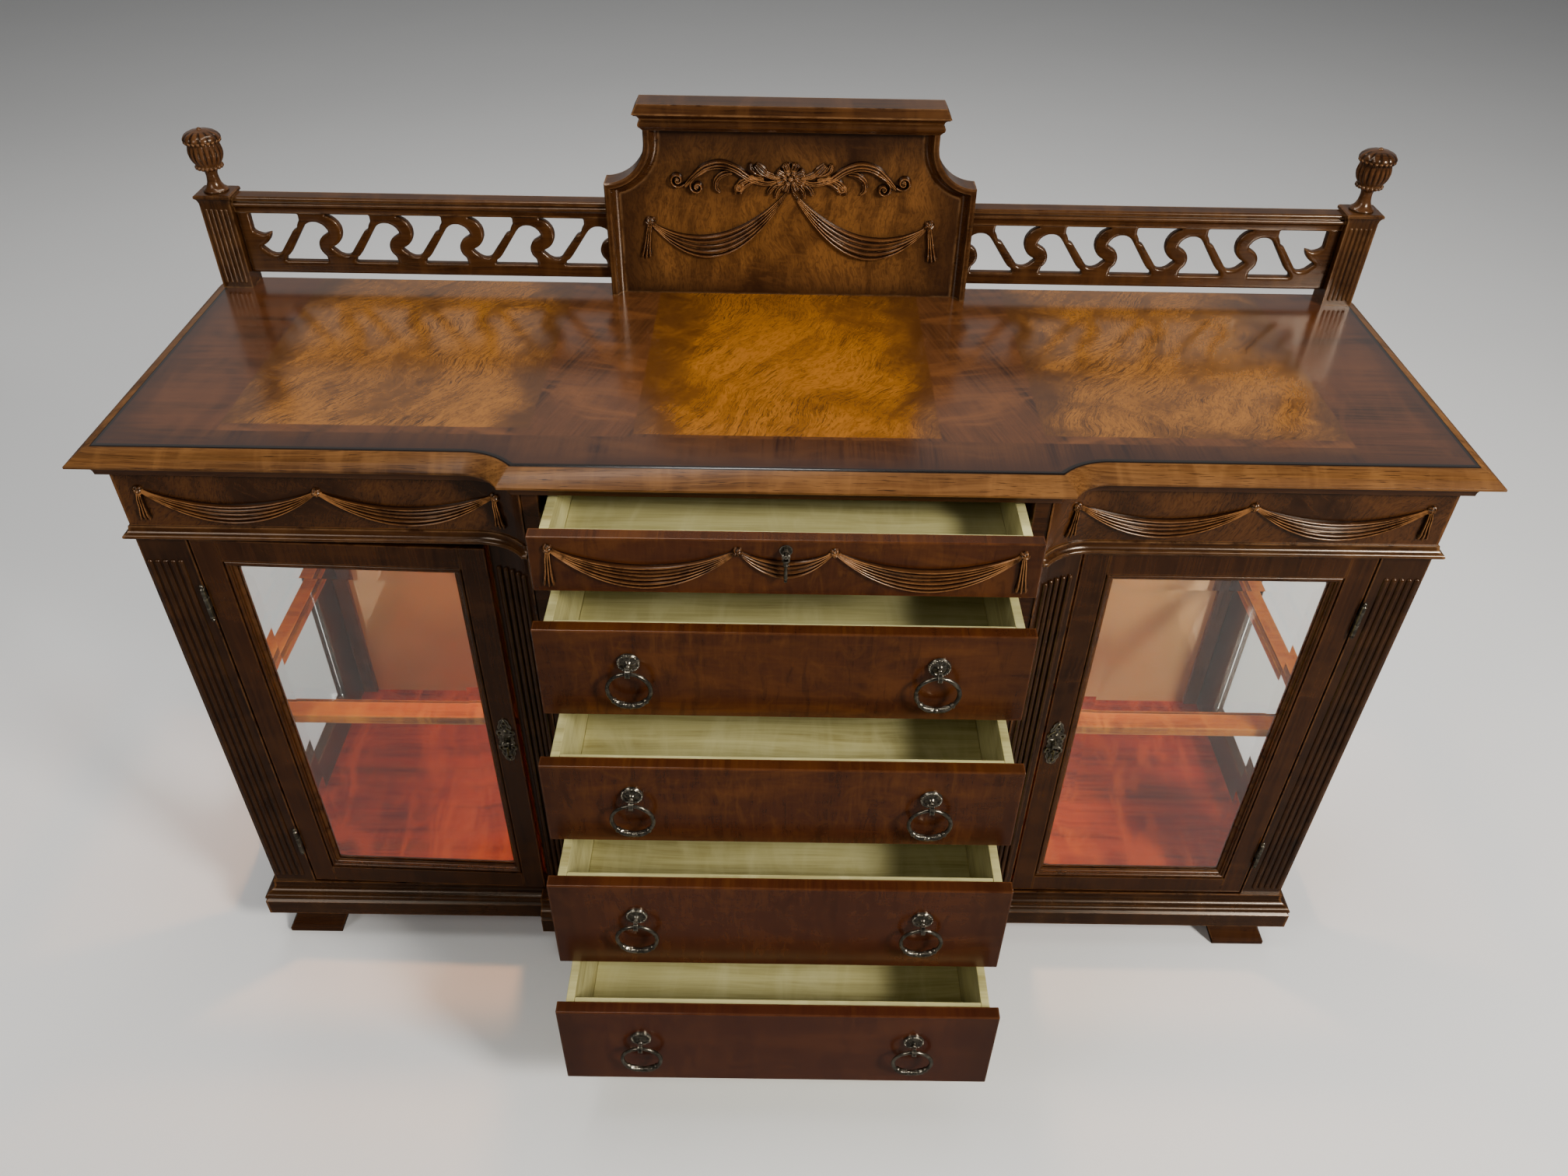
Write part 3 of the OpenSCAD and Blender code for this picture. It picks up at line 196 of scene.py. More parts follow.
def bumpTo(graph, shader, height, distance, strength=1.0):
    bump = graph.add("ShaderNodeBump")
    bump.inputs["Strength"].default_value = strength
    bump.inputs["Distance"].default_value = distance
    graph.feed(bump.inputs["Height"], height)
    graph.tree.links.new(bump.outputs[0], shader.inputs["Normal"])


# Straight grain along X of the given vector, with pores, bands and curl
graph, given, made = newGroup("StraightGrain", [
    ("Vector", vector, None), ("Dark", colour, (0.02, 0.008, 0.004)), ("Mid", colour, (0.08, 0.03, 0.015)),
    ("Light", colour, (0.16, 0.07, 0.03)), ("Figure", number, 0.4), ("Pores", number, 0.6)],
    [("Colour", colour), ("Height", number), ("Gloss", number)])
drift = graph.noise(given["Vector"], 3.0, 2, stretch=(0.8, 3, 3))
moved = graph.vector("ADD", given["Vector"], graph.mapping(graph.join(0, drift, drift),
    scale=(1, 0.03, 0.03)))
bands = graph.noise(moved, 1.6, 6, 0.6, 0.5, stretch=(1.1, 17, 17))
fibres = graph.noise(moved, 1.0, 3, 0.6, stretch=(5, 260, 260))
pores = graph.noise(moved, 1.0, 2, 0.5, stretch=(34, 900, 900))
curl = graph.noise(moved, 1.3, 4, 0.55, 1.2, stretch=(14, 4, 4))
body = graph.mix(graph.steps(bands, 0.3, 0.62), given["Dark"], given["Mid"])
body = graph.lay(body, given["Light"], curl, 0.42, 0.72, given["Figure"])
body = graph.lay(body, given["Light"], fibres, 0.35, 0.65, 0.28)
poreMask = graph.times(graph.steps(pores, 0.6, 0.7), given["Pores"])
body = graph.mix(poreMask, body, given["Dark"])
graph.feed(made["Colour"], body)
graph.feed(made["Height"], graph.minus(graph.times(fibres, 0.3), poreMask))
graph.feed(made["Gloss"], graph.plus(graph.times(fibres, 0.1), graph.times(bands, 0.08)))

# Golden swirl figure of the matched fields
graph, given, made = newGroup("SwirlFigure", [
    ("Vector", vector, None), ("Gold", colour, (0.55, 0.25, 0.05)), ("Brown", colour, (0.2, 0.08, 0.02)),
    ("Dark", colour, (0.03, 0.012, 0.006)), ("Streaks", number, 1.0)],
    [("Colour", colour), ("Height", number)])
clouds = graph.noise(given["Vector"], 5.5, 3, 0.5, 0.8)
flow = graph.noise(given["Vector"], 5.0, 2, 0.5)
sway = graph.noise(given["Vector"], 22.0, 3, 0.55)
turned = graph.mapping(given["Vector"], rotation=(0, 0, radians(-62)))
bent = graph.vector("ADD", turned, graph.mapping(graph.join(flow, flow, 0), scale=(0.03, 0.11, 0)))
bent = graph.vector("ADD", bent, graph.mapping(graph.join(sway, sway, 0), scale=(0.012, 0.017, 0)))
cluster = graph.noise(bent, 11.0, 3, 0.55, 0.9)
wide = graph.noise(bent, 1.0, 4, 0.6, 0.8, stretch=(7, 26, 1))
ripple = graph.noise(bent, 1.0, 4, 0.62, 1.4, stretch=(70, 190, 1))
curl = graph.noise(bent, 1.0, 3, 0.55, 1.0, start=(4, 7, 0), stretch=(120, 34, 1))
feather = graph.noise(bent, 1.0, 5, 0.66, 1.7, stretch=(17, 290, 1))
dashes = graph.noise(bent, 1.0, 4, 0.62, 1.8, start=(3, 1, 0), stretch=(40, 450, 1))
fine = graph.noise(bent, 1.0, 3, 0.6, stretch=(60, 620, 1))
body = graph.mix(graph.steps(clouds, 0.28, 0.54), given["Brown"], given["Gold"])
body = graph.lay(body, given["Brown"], wide, 0.44, 0.66, 0.5)
body = graph.lay(body, given["Brown"], ripple, 0.44, 0.62, 0.5)
body = graph.lay(body, given["Gold"], curl, 0.52, 0.68, 0.3)
featherMask = graph.times(graph.steps(feather, 0.51, 0.6), graph.steps(cluster, 0.43, 0.6))
dashMask = graph.times(graph.steps(dashes, 0.56, 0.64), graph.steps(wide, 0.46, 0.58))
streakMask = graph.math("MAXIMUM", featherMask, graph.times(dashMask, 0.75))
body = graph.mix(graph.times(graph.times(streakMask, given["Streaks"]), 0.66), body, given["Dark"])
body = graph.lay(body, given["Brown"], fine, 0.48, 0.7, 0.28)
graph.feed(made["Colour"], body)
graph.feed(made["Height"], graph.times(fine, 0.4))

# Mask of a box in X and Y with soft edges, given its centre and half size
graph, given, made = newGroup("SoftBox", [
    ("Vector", vector, None), ("Centre X", number, 0.0), ("Centre Y", number, 0.0), ("Half X", number, 0.2),
    ("Half Y", number, 0.2), ("Softness", number, 0.002)],
    [("Mask", number), ("Depth", number), ("Across", number)])
spot = graph.split(given["Vector"])
insideX = graph.minus(given["Half X"], graph.math("ABSOLUTE", graph.minus(spot[0], given["Centre X"])))
insideY = graph.minus(given["Half Y"], graph.math("ABSOLUTE", graph.minus(spot[1], given["Centre Y"])))
depth = graph.math("MINIMUM", insideX, insideY)
graph.feed(made["Mask"], graph.steps(depth, graph.times(given["Softness"], -1.0), given["Softness"]))
graph.feed(made["Depth"], depth)
graph.feed(made["Across"], insideX)

# Distance inside the edge of the top, following the hollow corners
graph, given, made = newGroup("TopEdgeDistance", [
    ("Vector", vector, None), ("Side Y", number, 0.0), ("Middle Y", number, 0.0), ("Corner X", number, 0.4),
    ("Corner Y", number, 0.0), ("Corner Radius", number, 0.09), ("End X", number, 0.885)],
    [("Distance", number)])
spot = graph.split(given["Vector"])
wide = graph.math("ABSOLUTE", spot[0])
corner = graph.minus(graph.vector("DISTANCE", graph.join(wide, spot[1], 0),
    graph.join(given["Corner X"], given["Corner Y"], 0)), given["Corner Radius"])
middle = graph.math("MINIMUM", graph.minus(spot[1], given["Middle Y"]), corner)
side = graph.minus(spot[1], given["Side Y"])
pick = graph.math("LESS_THAN", wide, given["Corner X"])
front = graph.plus(graph.times(pick, middle), graph.times(graph.minus(1.0, pick), side))
graph.feed(made["Distance"], graph.math("MINIMUM", front, graph.minus(given["End X"], wide)))

# Soft uneven patches for handled surfaces
graph, given, made = newGroup("HandledFinish", [
    ("Vector", vector, None), ("Roughness", number, 0.3), ("Amount", number, 0.08)], [("Roughness", number)])
smear = graph.noise(given["Vector"], 9.0, 4, 0.6, 0.6)
graph.feed(made["Roughness"], graph.plus(given["Roughness"],
    graph.times(graph.minus(smear, 0.5), given["Amount"])))

# Darker near an edge, within a width of it
graph, given, made = newGroup("ShadedEdge", [
    ("Colour", colour, (0.5, 0.5, 0.5)), ("Distance", number, 0.1), ("Width", number, 0.03),
    ("Shade", colour, (0.02, 0.008, 0.004)), ("Amount", number, 0.7)], [("Colour", colour)])
near = graph.minus(1.0, graph.steps(given["Distance"], 0.0, given["Width"]))
graph.feed(made["Colour"], graph.mix(graph.times(near, given["Amount"]), given["Colour"], given["Shade"]))
print("node groups built")

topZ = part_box("top_board")[1][2]
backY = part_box("top_board")[1][1]

warmGloss = (1.0, 0.79, 0.6)
# Tones of the lighter edges: rubbed wear with a painted highlight
wornHighlightBrown = (0.19, 0.074, 0.018)
wornHighlightGold = (0.25, 0.125, 0.048)


def wearPatinaAndPaintedLight(graph, colour, wornHighlightTone, amount=0.6, reach=0.003, hollow=0.014, shade=0.6,
        patinaAndShade=(0.006, 0.0022, 0.0011)):
    # Lighter convex edges and darker hollows, found from the form round each point: the edges are rubbed wear
    # with a painted highlight, the hollows patina with painted shade, which also falls between neighbouring
    # parts
    crest = graph.add("ShaderNodeAmbientOcclusion", samples=3, inside=True, only_local=True)
    crest.inputs["Distance"].default_value = reach
    cleft = graph.add("ShaderNodeAmbientOcclusion", samples=3)
    cleft.inputs["Distance"].default_value = hollow
    place = graph.add("ShaderNodeTexCoord").outputs["Object"]
    patch = graph.noise(place, 38.0, 4, 0.65, 0.5)
    # Patina with painted shade: darker where the form round the point closes in, neighbouring parts included
    dark = graph.times(graph.steps(cleft.outputs["AO"], 0.85, 0.3), shade)
    # Rubbed wear with a painted highlight: lighter on convex edges, in patches
    wornHighlightMask = graph.times(graph.steps(crest.outputs["AO"], 0.92, 0.64), amount)
    wornHighlightMask = graph.times(wornHighlightMask, graph.steps(patch, 0.3, 0.6))
    return graph.mix(wornHighlightMask, graph.mix(dark, colour, patinaAndShade), wornHighlightTone)


def polish(graph, shader, colour, rough, coat, coatRough, gloss=0.5):
    graph.fill(shader, {"Base Color": colour, "Roughness": rough, "Specular IOR Level": gloss,
        "Specular Tint": warmGloss, "Coat Weight": coat, "Coat Roughness": coatRough})


# Woods with straight grain: axis of the grain, three tones, figure, pores, roughness and coat,
# and for most of them the tone and amount of the lighter edges, rubbed wear with a painted highlight
caseTones = {"dark": (0.0115, 0.0034, 0.0012), "mid": (0.0255, 0.0071, 0.0017),
    "light": (0.062, 0.02, 0.0038), "figure": 0.4, "pores": 0.12, "rough": 0.22, "coat": 0.12,
    "wornHighlightTone": wornHighlightBrown, "amount": 0.26}
mouldTones = {"dark": (0.012, 0.0038, 0.0013), "mid": (0.032, 0.0102, 0.0027),
    "light": (0.098, 0.0375, 0.009), "figure": 0.4, "rough": 0.22, "coat": 0.15, "wornHighlightTone": wornHighlightGold}
woods = {
    "caseUpright": {"axis": "Z", **caseTones},
    "caseAcross": {"axis": "X", **caseTones},
    "mouldAcross": {"axis": "X", **mouldTones, "pores": 0.25, "amount": 0.55},
    "mouldUpright": {"axis": "Z", **mouldTones, "pores": 0.2, "amount": 0.46},
    "reedWood": {"axis": "Z", "dark": (0.007, 0.0024, 0.0011), "mid": (0.0165, 0.0052, 0.0017),
        "light": (0.05, 0.0175, 0.0044), "figure": 0.35, "pores": 0.15, "rough": 0.2, "coat": 0.15,
        "wornHighlightTone": (0.2, 0.085, 0.026), "amount": 0.42},
    # The plinth's darker tones are a painted shade, standing for the shadow over the low plinth
    "plinthWoodPaintedShade": {"axis": "X", "dark": (0.008, 0.0024, 0.0009), "mid": (0.022, 0.007, 0.0018),
        "light": (0.06, 0.022, 0.0045), "figure": 0.35, "pores": 0.2, "rough": 0.24, "coat": 0.1,
        "wornHighlightTone": (0.13, 0.052, 0.014), "amount": 0.7},
    "insideUpright": {"axis": "Z", "dark": (0.09, 0.014, 0.002), "mid": (0.25, 0.034, 0.003),
        "light": (0.4, 0.085, 0.008), "figure": 0.3, "pores": 0.4, "rough": 0.4, "gloss": 0.15},
    "backWood": {"axis": "Z", "dark": (0.05, 0.017, 0.0055), "mid": (0.115, 0.043, 0.014),
        "light": (0.2, 0.088, 0.032), "figure": 0.3, "pores": 0.4, "rough": 0.5, "gloss": 0.2},
    "shelfWood": {"axis": "X", "dark": (0.11, 0.018, 0.0006), "mid": (0.28, 0.066, 0.002),
        "light": (0.46, 0.16, 0.006), "figure": 0.7, "pores": 0.4, "rough": 0.34, "wornHighlightTone": (0.56, 0.24, 0.03),
        "amount": 0.6, "gloss": 0.1}}
alongAxis = {"X": (0, 0, 0), "Z": (0, quarterTurn, 0)}


def straightWood(name, axis, dark, mid, light, figure, pores, rough, coat=0.0, wornHighlightTone=None, amount=0.6,
        gloss=0.45):
    graph, shader, place = newMaterial(name)
    grain = graph.grain(graph.mapping(place, rotation=alongAxis[axis]), dark, mid, light, figure, pores)
    body = wearPatinaAndPaintedLight(graph, grain["Colour"], wornHighlightTone, amount) if wornHighlightTone else grain["Colour"]
    finish = graph.plus(graph.handled(place, rough, 0.1), graph.times(grain["Gloss"], 0.3))
    polish(graph, shader, body, finish, coat, 0.15, gloss)
    bumpTo(graph, shader, grain["Height"], 0.00006)


def drawerBoxWood():
    # Pale boards whose grain follows each board: along X, and front to back on the sides
    graph, shader, place = newMaterial("drawerWood")
    pale = ((0.31, 0.26, 0.085), (0.51, 0.46, 0.185), (0.7, 0.66, 0.33), 0.35, 0.12)
    across = graph.grain(place, *pale)
    deep = graph.grain(graph.mapping(place, rotation=(0, 0, quarterTurn)), *pale)
    facing = graph.split(graph.add("ShaderNodeTexCoord").outputs["Normal"])
    side = graph.math("GREATER_THAN", graph.math("ABSOLUTE", facing[0]), 0.6)
    graph.feed(shader.inputs["Base Color"], graph.mix(side, across["Colour"], deep["Colour"]))
    rough = graph.handled(place, 0.45, 0.1)
    graph.fill(shader, {"Roughness": rough, "Specular IOR Level": 0.4})
    bumpTo(graph, shader, across["Height"], 0.00006)


def cabinetFloorWood():
    # Painted pool of light: darker and redder at the outer ends, brighter beside the drawers where the
    # cabinet light falls
    graph, shader, place = newMaterial("floorWood")
    grain = graph.grain(place, (0.05, 0.002, 0.0002), (0.2, 0.0095, 0.0003), (0.36, 0.045, 0.001), 0.8, 0.3)
    paintedLightGrain = graph.grain(place, (0.14, 0.01, 0.0004), (0.4, 0.046, 0.001), (0.62, 0.13, 0.003), 0.8, 0.3)
    spot = graph.split(place)
    cloud = graph.times(graph.minus(graph.noise(place, 7.0, 3, 0.55, 1.0), 0.5), 0.3)
    # Mask of the painted pool of light, 1 towards the middle
    near = graph.steps(graph.plus(graph.math("ABSOLUTE", spot[0]), cloud), 0.78, 0.4)
    graph.fill(shader, {"Base Color": graph.mix(near, grain["Colour"], paintedLightGrain["Colour"]), "Roughness": 0.5,
        "Specular IOR Level": 0.02})
    bumpTo(graph, shader, grain["Height"], 0.00004)


def drawerFrontWood():
    graph, shader, place = newMaterial("frontVeneer")
    turned = graph.mapping(place, rotation=(0, quarterTurn, 0))
    grain = graph.grain(turned, (0.03, 0.008, 0.0026), (0.04, 0.0105, 0.0032), (0.062, 0.017, 0.0044), 0.35,
        0.15)
    spot = graph.split(place)
    plume = graph.noise(place, 1.0, 5, 0.6, 1.6, turn=(0, radians(-38), 0), stretch=(4.0, 1.0, 13.0))
    mottle = graph.noise(place, 1.0, 4, 0.62, 1.4, stretch=(38.0, 1.0, 30.0))
    rays = graph.noise(place, 1.0, 4, 0.6, 0.8, turn=(0, radians(-32), 0), stretch=(9.0, 1.0, 120.0))
    body = graph.lay(grain["Colour"], (0.09, 0.027, 0.0048), plume, 0.42, 0.72, 0.7)
    body = graph.lay(body, (0.105, 0.034, 0.0056), mottle, 0.5, 0.72, 0.28)
    body = graph.lay(body, (0.078, 0.021, 0.0042), rays, 0.52, 0.7, 0.3)
    flecks = graph.noise(place, 1.0, 4, 0.62, 0.7, turn=(0, radians(7), 0), stretch=(70.0, 1.0, 15.0))
    glow = graph.noise(place, 1.0, 2, 0.5, stretch=(6.0, 1.0, 9.0))
    fleckMask = graph.times(graph.steps(flecks, 0.5, 0.66), graph.steps(glow, 0.38, 0.6))
    body = graph.mix(graph.times(fleckMask, 0.3), body, (0.115, 0.038, 0.007))
    body = graph.lay(body, (0.018, 0.0052, 0.002), flecks, 0.46, 0.34, 0.4)
    # Painted shade: darker towards the lower drawers
    low = graph.steps(spot[2], 0.75, 0.2)
    body = graph.mix(graph.times(low, 0.55), body, (0.046, 0.0105, 0.0056))
    # Painted shade: darker towards the outer ends of each front
    ends = graph.steps(graph.math("ABSOLUTE", spot[0]), 0.235, 0.318)
    body = graph.mix(graph.times(ends, 0.45), body, (0.014, 0.004, 0.0016))
    body = wearPatinaAndPaintedLight(graph, body, (0.16, 0.055, 0.016), 0.5, shade=0.4)
    polish(graph, shader, body, graph.handled(place, 0.24, 0.1), 0.15, 0.12, 0.4)
    bumpTo(graph, shader, grain["Height"], 0.00004)


# Tones of the top, and its fields and bands in metres with Y from the back edge:
# each box has its centre and its half size
topTones = {"gold": (0.315, 0.113, 0.0115), "brown": (0.098, 0.031, 0.0038), "dark": (0.016, 0.005, 0.0014),
    "sideGold": (0.268, 0.101, 0.014), "sideBrown": (0.068, 0.024, 0.0044),
    "band": ((0.018, 0.006, 0.002), (0.066, 0.0215, 0.0062), (0.15, 0.051, 0.012), 0.8, 0.3),
    "cross": ((0.016, 0.004, 0.002), (0.05, 0.016, 0.0048), (0.095, 0.033, 0.008), 0.5, 0.3),
    "end": ((0.018, 0.005, 0.002), (0.062, 0.0185, 0.0058), (0.11, 0.036, 0.009), 0.5, 0.3),
    "slope": ((0.018, 0.006, 0.002), (0.098, 0.038, 0.009), (0.25, 0.11, 0.03), 0.32, 0.9),
    "centreShade": (0.055, 0.017, 0.003), "sideShade": (0.05, 0.017, 0.004),
    "edgeShade": (0.02, 0.006, 0.003), "line": (0.004, 0.002, 0.0015), "under": (0.035, 0.012, 0.005)}
topFields = {"centre": (0.0, backY - 0.243, 0.202, 0.212), "side": (0.541, backY - 0.222, 0.202, 0.222),
    "band": (0.0, backY - 0.222, 0.743, 0.24), "endFrom": 0.741, "endTo": 0.745,
    "edge": {"Side Y": backY - 0.5, "Middle Y": backY - 0.531, "Corner X": 0.4135,
        "Corner Y": backY - 0.587, "Corner Radius": 0.087, "End X": 0.885}}


def topWood():
    graph, shader, place = newMaterial("topVeneer")
    tones, fields = topTones, topFields
    spot = graph.split(place)
    away = graph.math("ABSOLUTE", spot[0])
    matched = graph.join(away, spot[1], spot[2])
    swirl = graph.swirl(place, tones["gold"], tones["brown"], tones["dark"], 0.9)
    shifted = graph.mapping(place, location=(0.37, 0.21, 0))
    sideSwirl = graph.swirl(shifted, tones["sideGold"], tones["sideBrown"], tones["dark"], 1.1)
    bandGrain = graph.grain(graph.mapping(matched, rotation=(0, 0, radians(72))), *tones["band"])
    crossGrain = graph.grain(graph.mapping(place, rotation=(0, 0, quarterTurn)), *tones["cross"])
    endGrain = graph.grain(place, *tones["end"])
    slopeGrain = graph.grain(place, *tones["slope"])
    centre = graph.box(place, *fields["centre"], softness=0.0015)
    side = graph.box(matched, *fields["side"])
    band = graph.box(matched, *fields["band"])
    edge = graph.group("TopEdgeDistance", Vector=place, **fields["edge"])["Distance"]
    body = graph.mix(graph.steps(away, fields["endFrom"], fields["endTo"]), crossGrain["Colour"],
        endGrain["Colour"])
    body = graph.mix(band["Mask"], body, bandGrain["Colour"])
    uneven = graph.times(graph.minus(graph.noise(place, 12.0, 3, 0.6, 1.0), 0.5), 0.16)
    centreColour = graph.shaded(swirl["Colour"], graph.plus(centre["Across"], uneven), 0.09,
        tones["centreShade"], 0.85)
    sideColour = graph.shaded(sideSwirl["Colour"], graph.plus(side["Across"], uneven), 0.085,
        tones["sideShade"], 0.85)
    body = graph.mix(centre["Mask"], body, centreColour)
    body = graph.mix(side["Mask"], body, sideColour)
    body = graph.shaded(body, edge, 0.045, tones["edgeShade"], 0.65)
    line = graph.minus(1.0, graph.steps(graph.math("ABSOLUTE", graph.minus(edge, -0.0005)), 0.0022, 0.004))
    slope = graph.minus(1.0, graph.steps(edge, -0.0022, -0.0012))
    body = graph.mix(slope, body, slopeGrain["Colour"])
    body = graph.mix(line, body, tones["line"])
    # Painted shade: darker below 18 to 21 mm under the top face, on the lower edge and underside of the top
    under = graph.minus(1.0, graph.steps(spot[2], topZ - 0.021, topZ - 0.018))
    body = graph.mix(graph.times(under, 0.8), body, tones["under"])
    rough = graph.handled(place, 0.22, 0.12)
    graph.fill(shader, {"Base Color": body, "Roughness": graph.plus(rough, graph.times(slope, 0.1)),
        "Specular IOR Level": graph.minus(0.5, graph.times(slope, 0.26)),
        "Coat Weight": graph.minus(1.0, graph.times(slope, 0.95)), "Coat Roughness": 0.17})
    bumpTo(graph, shader, graph.plus(crossGrain["Height"], swirl["Height"]), 0.00003)


# Figure and grain of the splat panel, and the shade along its edges
panelTones = {"swirl": ((0.18, 0.072, 0.0165), (0.021, 0.0074, 0.0026), (0.01, 0.0034, 0.0014), 0.45),
    "grain": ((0.016, 0.005, 0.002), (0.058, 0.019, 0.005), (0.15, 0.056, 0.012), 0.5, 0.3),
    "shade": (0.014, 0.005, 0.003)}


def panelWood():
    graph, shader, place = newMaterial("panelVeneer")
    spot = graph.split(place)
    flat = graph.join(spot[0], spot[2], 0)
    upright = graph.mapping(flat, location=(0.12, 0.05, 0), rotation=(0, 0, radians(-28)))
    swirl = graph.swirl(upright, *panelTones["swirl"])
    grain = graph.grain(graph.mapping(place, rotation=alongAxis["Z"]), *panelTones["grain"])
    box = graph.box(flat, 0.0, topZ + 0.12, 0.255, 0.14)
    body = graph.mix(0.92, grain["Colour"], swirl["Colour"])
    body = graph.shaded(body, box["Depth"], 0.08, panelTones["shade"], 0.8)
    polish(graph, shader, wearPatinaAndPaintedLight(graph, body, wornHighlightGold, 0.3, hollow=0.022, shade=0.85), 0.28, 0.2, 0.15)
    bumpTo(graph, shader, grain["Height"], 0.00004)


def friezeWood():
    graph, shader, place = newMaterial("friezeVeneer")
    spot = graph.split(place)
    flat = graph.join(spot[0], spot[2], 0)
    swirl = graph.swirl(graph.mapping(flat, location=(0.1, 0.3, 0)), (0.074, 0.0255, 0.006),
        (0.016, 0.0052, 0.0019), (0.007, 0.0025, 0.0012), 0.6)
    polish(graph, shader, wearPatinaAndPaintedLight(graph, swirl["Colour"], wornHighlightBrown, 0.5, hollow=0.018, shade=0.8), 0.26,
        0.2, 0.12)
    bumpTo(graph, shader, swirl["Height"], 0.00004)


def carvedWood(name, dark, mid, light, wornHighlightTone):
    graph, shader, place = newMaterial(name)
    grain = graph.grain(place, dark, mid, light, 0.4, 0.5)
    hollow = graph.add("ShaderNodeAttribute", attribute_name="Hollow").outputs["Fac"]
    # Glaze with painted shade: darker in the carving's grooves, folds and leaf edges, read from the Hollow
    # depth
    body = graph.mix(graph.steps(hollow, 0.06, 0.62), grain["Colour"], (0.009, 0.0034, 0.0016))
    body = wearPatinaAndPaintedLight(graph, body, wornHighlightTone, 0.75, reach=0.0013, hollow=0.009, shade=0.92)
    polish(graph, shader, body, graph.handled(place, 0.22, 0.12), 0.12, 0.12)
    bumpTo(graph, shader, grain["Height"], 0.00008)


def agedMetal():
    graph, shader, place = newMaterial("agedBrass")
    spots = graph.noise(place, 160.0, 4, 0.6, 0.4)
    wear = graph.noise(place, 45.0, 3, 0.6)
    body = graph.mix(graph.steps(spots, 0.4, 0.7), (0.075, 0.066, 0.049), (0.25, 0.222, 0.168))
    body = graph.lay(body, (0.4, 0.355, 0.27), wear, 0.52, 0.75, 0.5)
    # Lighter edges are rubbed wear with painted glints, the darker hollows patina with painted shade
    body = wearPatinaAndPaintedLight(graph, body, (0.78, 0.71, 0.56), 0.75, reach=0.001, hollow=0.004, shade=0.85,
        patinaAndShade=(0.022, 0.018, 0.013))
    graph.fill(shader, {"Base Color": body, "Metallic": 0.9,
        "Roughness": graph.plus(0.12, graph.times(spots, 0.18))})
    bumpTo(graph, shader, spots, 0.00025, 0.5)


def paneGlass():
    graph, shader, place = newMaterial("paneGlass")
    smear = graph.noise(place, 14.0, 3, 0.5)
    graph.fill(shader, {"Roughness": graph.times(smear, 0.03), "Base Color": (0.96, 0.985, 0.975),
        "Transmission Weight": 1.0, "IOR": 1.45})
    path = graph.add("ShaderNodeLightPath").outputs
    clear = graph.add("ShaderNodeBsdfTransparent")
    mixed = graph.add("ShaderNodeMixShader")
    graph.feed(mixed.inputs[0], graph.math("MAXIMUM", path["Is Shadow Ray"], path["Is Diffuse Ray"]))
    graph.feed(mixed.inputs[1], shader.outputs[0])
    graph.feed(mixed.inputs[2], clear.outputs[0])
    end = [node for node in graph.tree.nodes if node.type == "OUTPUT_MATERIAL"][0]
    graph.feed(end.inputs["Surface"], mixed.outputs[0])


def mirrorGlass():
    graph, shader, place = newMaterial("mirrorGlass")
    haze = graph.noise(place, 6.0, 3, 0.5)
    graph.feed(shader.inputs["Roughness"], graph.times(haze, 0.06))
    # Painted reflection: a warm diffuse film over a golden metal tint stands for the lit cabinet inside seen
    # in the mirror
    warmFilmPaintedReflection = graph.mix(haze, (0.54, 0.27, 0.085), (0.66, 0.36, 0.125))
    goldTintPaintedReflection = graph.mix(haze, (0.5, 0.29, 0.11), (0.6, 0.38, 0.17))
    paintedFilmShare = graph.plus(0.6, graph.times(haze, 0.28))
    graph.fill(shader, {"Base Color": graph.mix(paintedFilmShare, goldTintPaintedReflection, warmFilmPaintedReflection), "Metallic": graph.minus(1.0, paintedFilmShare)})


def lampBody():
    graph, shader, place = newMaterial("lampBody")
    spot = graph.noise(place, 90.0, 3, 0.5)
    graph.fill(shader, {"Base Color": graph.mix(spot, (0.8, 0.76, 0.66), (0.88, 0.85, 0.76)),
        "Roughness": 0.45})


for name, settings in woods.items():
    straightWood(name, **settings)
drawerBoxWood()
cabinetFloorWood()
drawerFrontWood()
topWood()
panelWood()
friezeWood()
carvedWood("carvedWood", (0.012, 0.004, 0.0015), (0.052, 0.018, 0.005), (0.13, 0.049, 0.0135),
    (0.42, 0.185, 0.06))
carvedWood("carvedDark", (0.012, 0.004, 0.0015), (0.055, 0.02, 0.0065), (0.14, 0.058, 0.02),
    (0.34, 0.16, 0.062))
agedMetal()
paneGlass()
mirrorGlass()
lampBody()
print("materials made")


def roundStrokes(shown):
    # The pierced boards get the rounded, fuller strokes of carved work
    voxels = shown.modifiers.new("Voxels", "REMESH")
    voxels.mode = "VOXEL"
    voxels.voxel_size = 0.0016
    voxels.use_smooth_shade = True
    fuller = shown.modifiers.new("Fuller", "DISPLACE")
    fuller.strength = 0.0011
    fuller.mid_level = 0.0
    even = shown.modifiers.new("Even", "SMOOTH")
    even.factor = 0.5
    even.iterations = 4


def softenEdges(shown, bevel):
    if bevel:
        soften = shown.modifiers.new("Bevel", "BEVEL")
        soften.width = bevel
        soften.segments = 2
        soften.limit_method = "ANGLE"
        soften.angle_limit = radians(42)
    part = shown.modifiers.new("Split", "EDGE_SPLIT")
    part.split_angle = radians(48 if bevel else 36)
    even = shown.modifiers.new("Even", "WEIGHTED_NORMAL")
    even.mode = "FACE_AREA"
    even.weight = 50


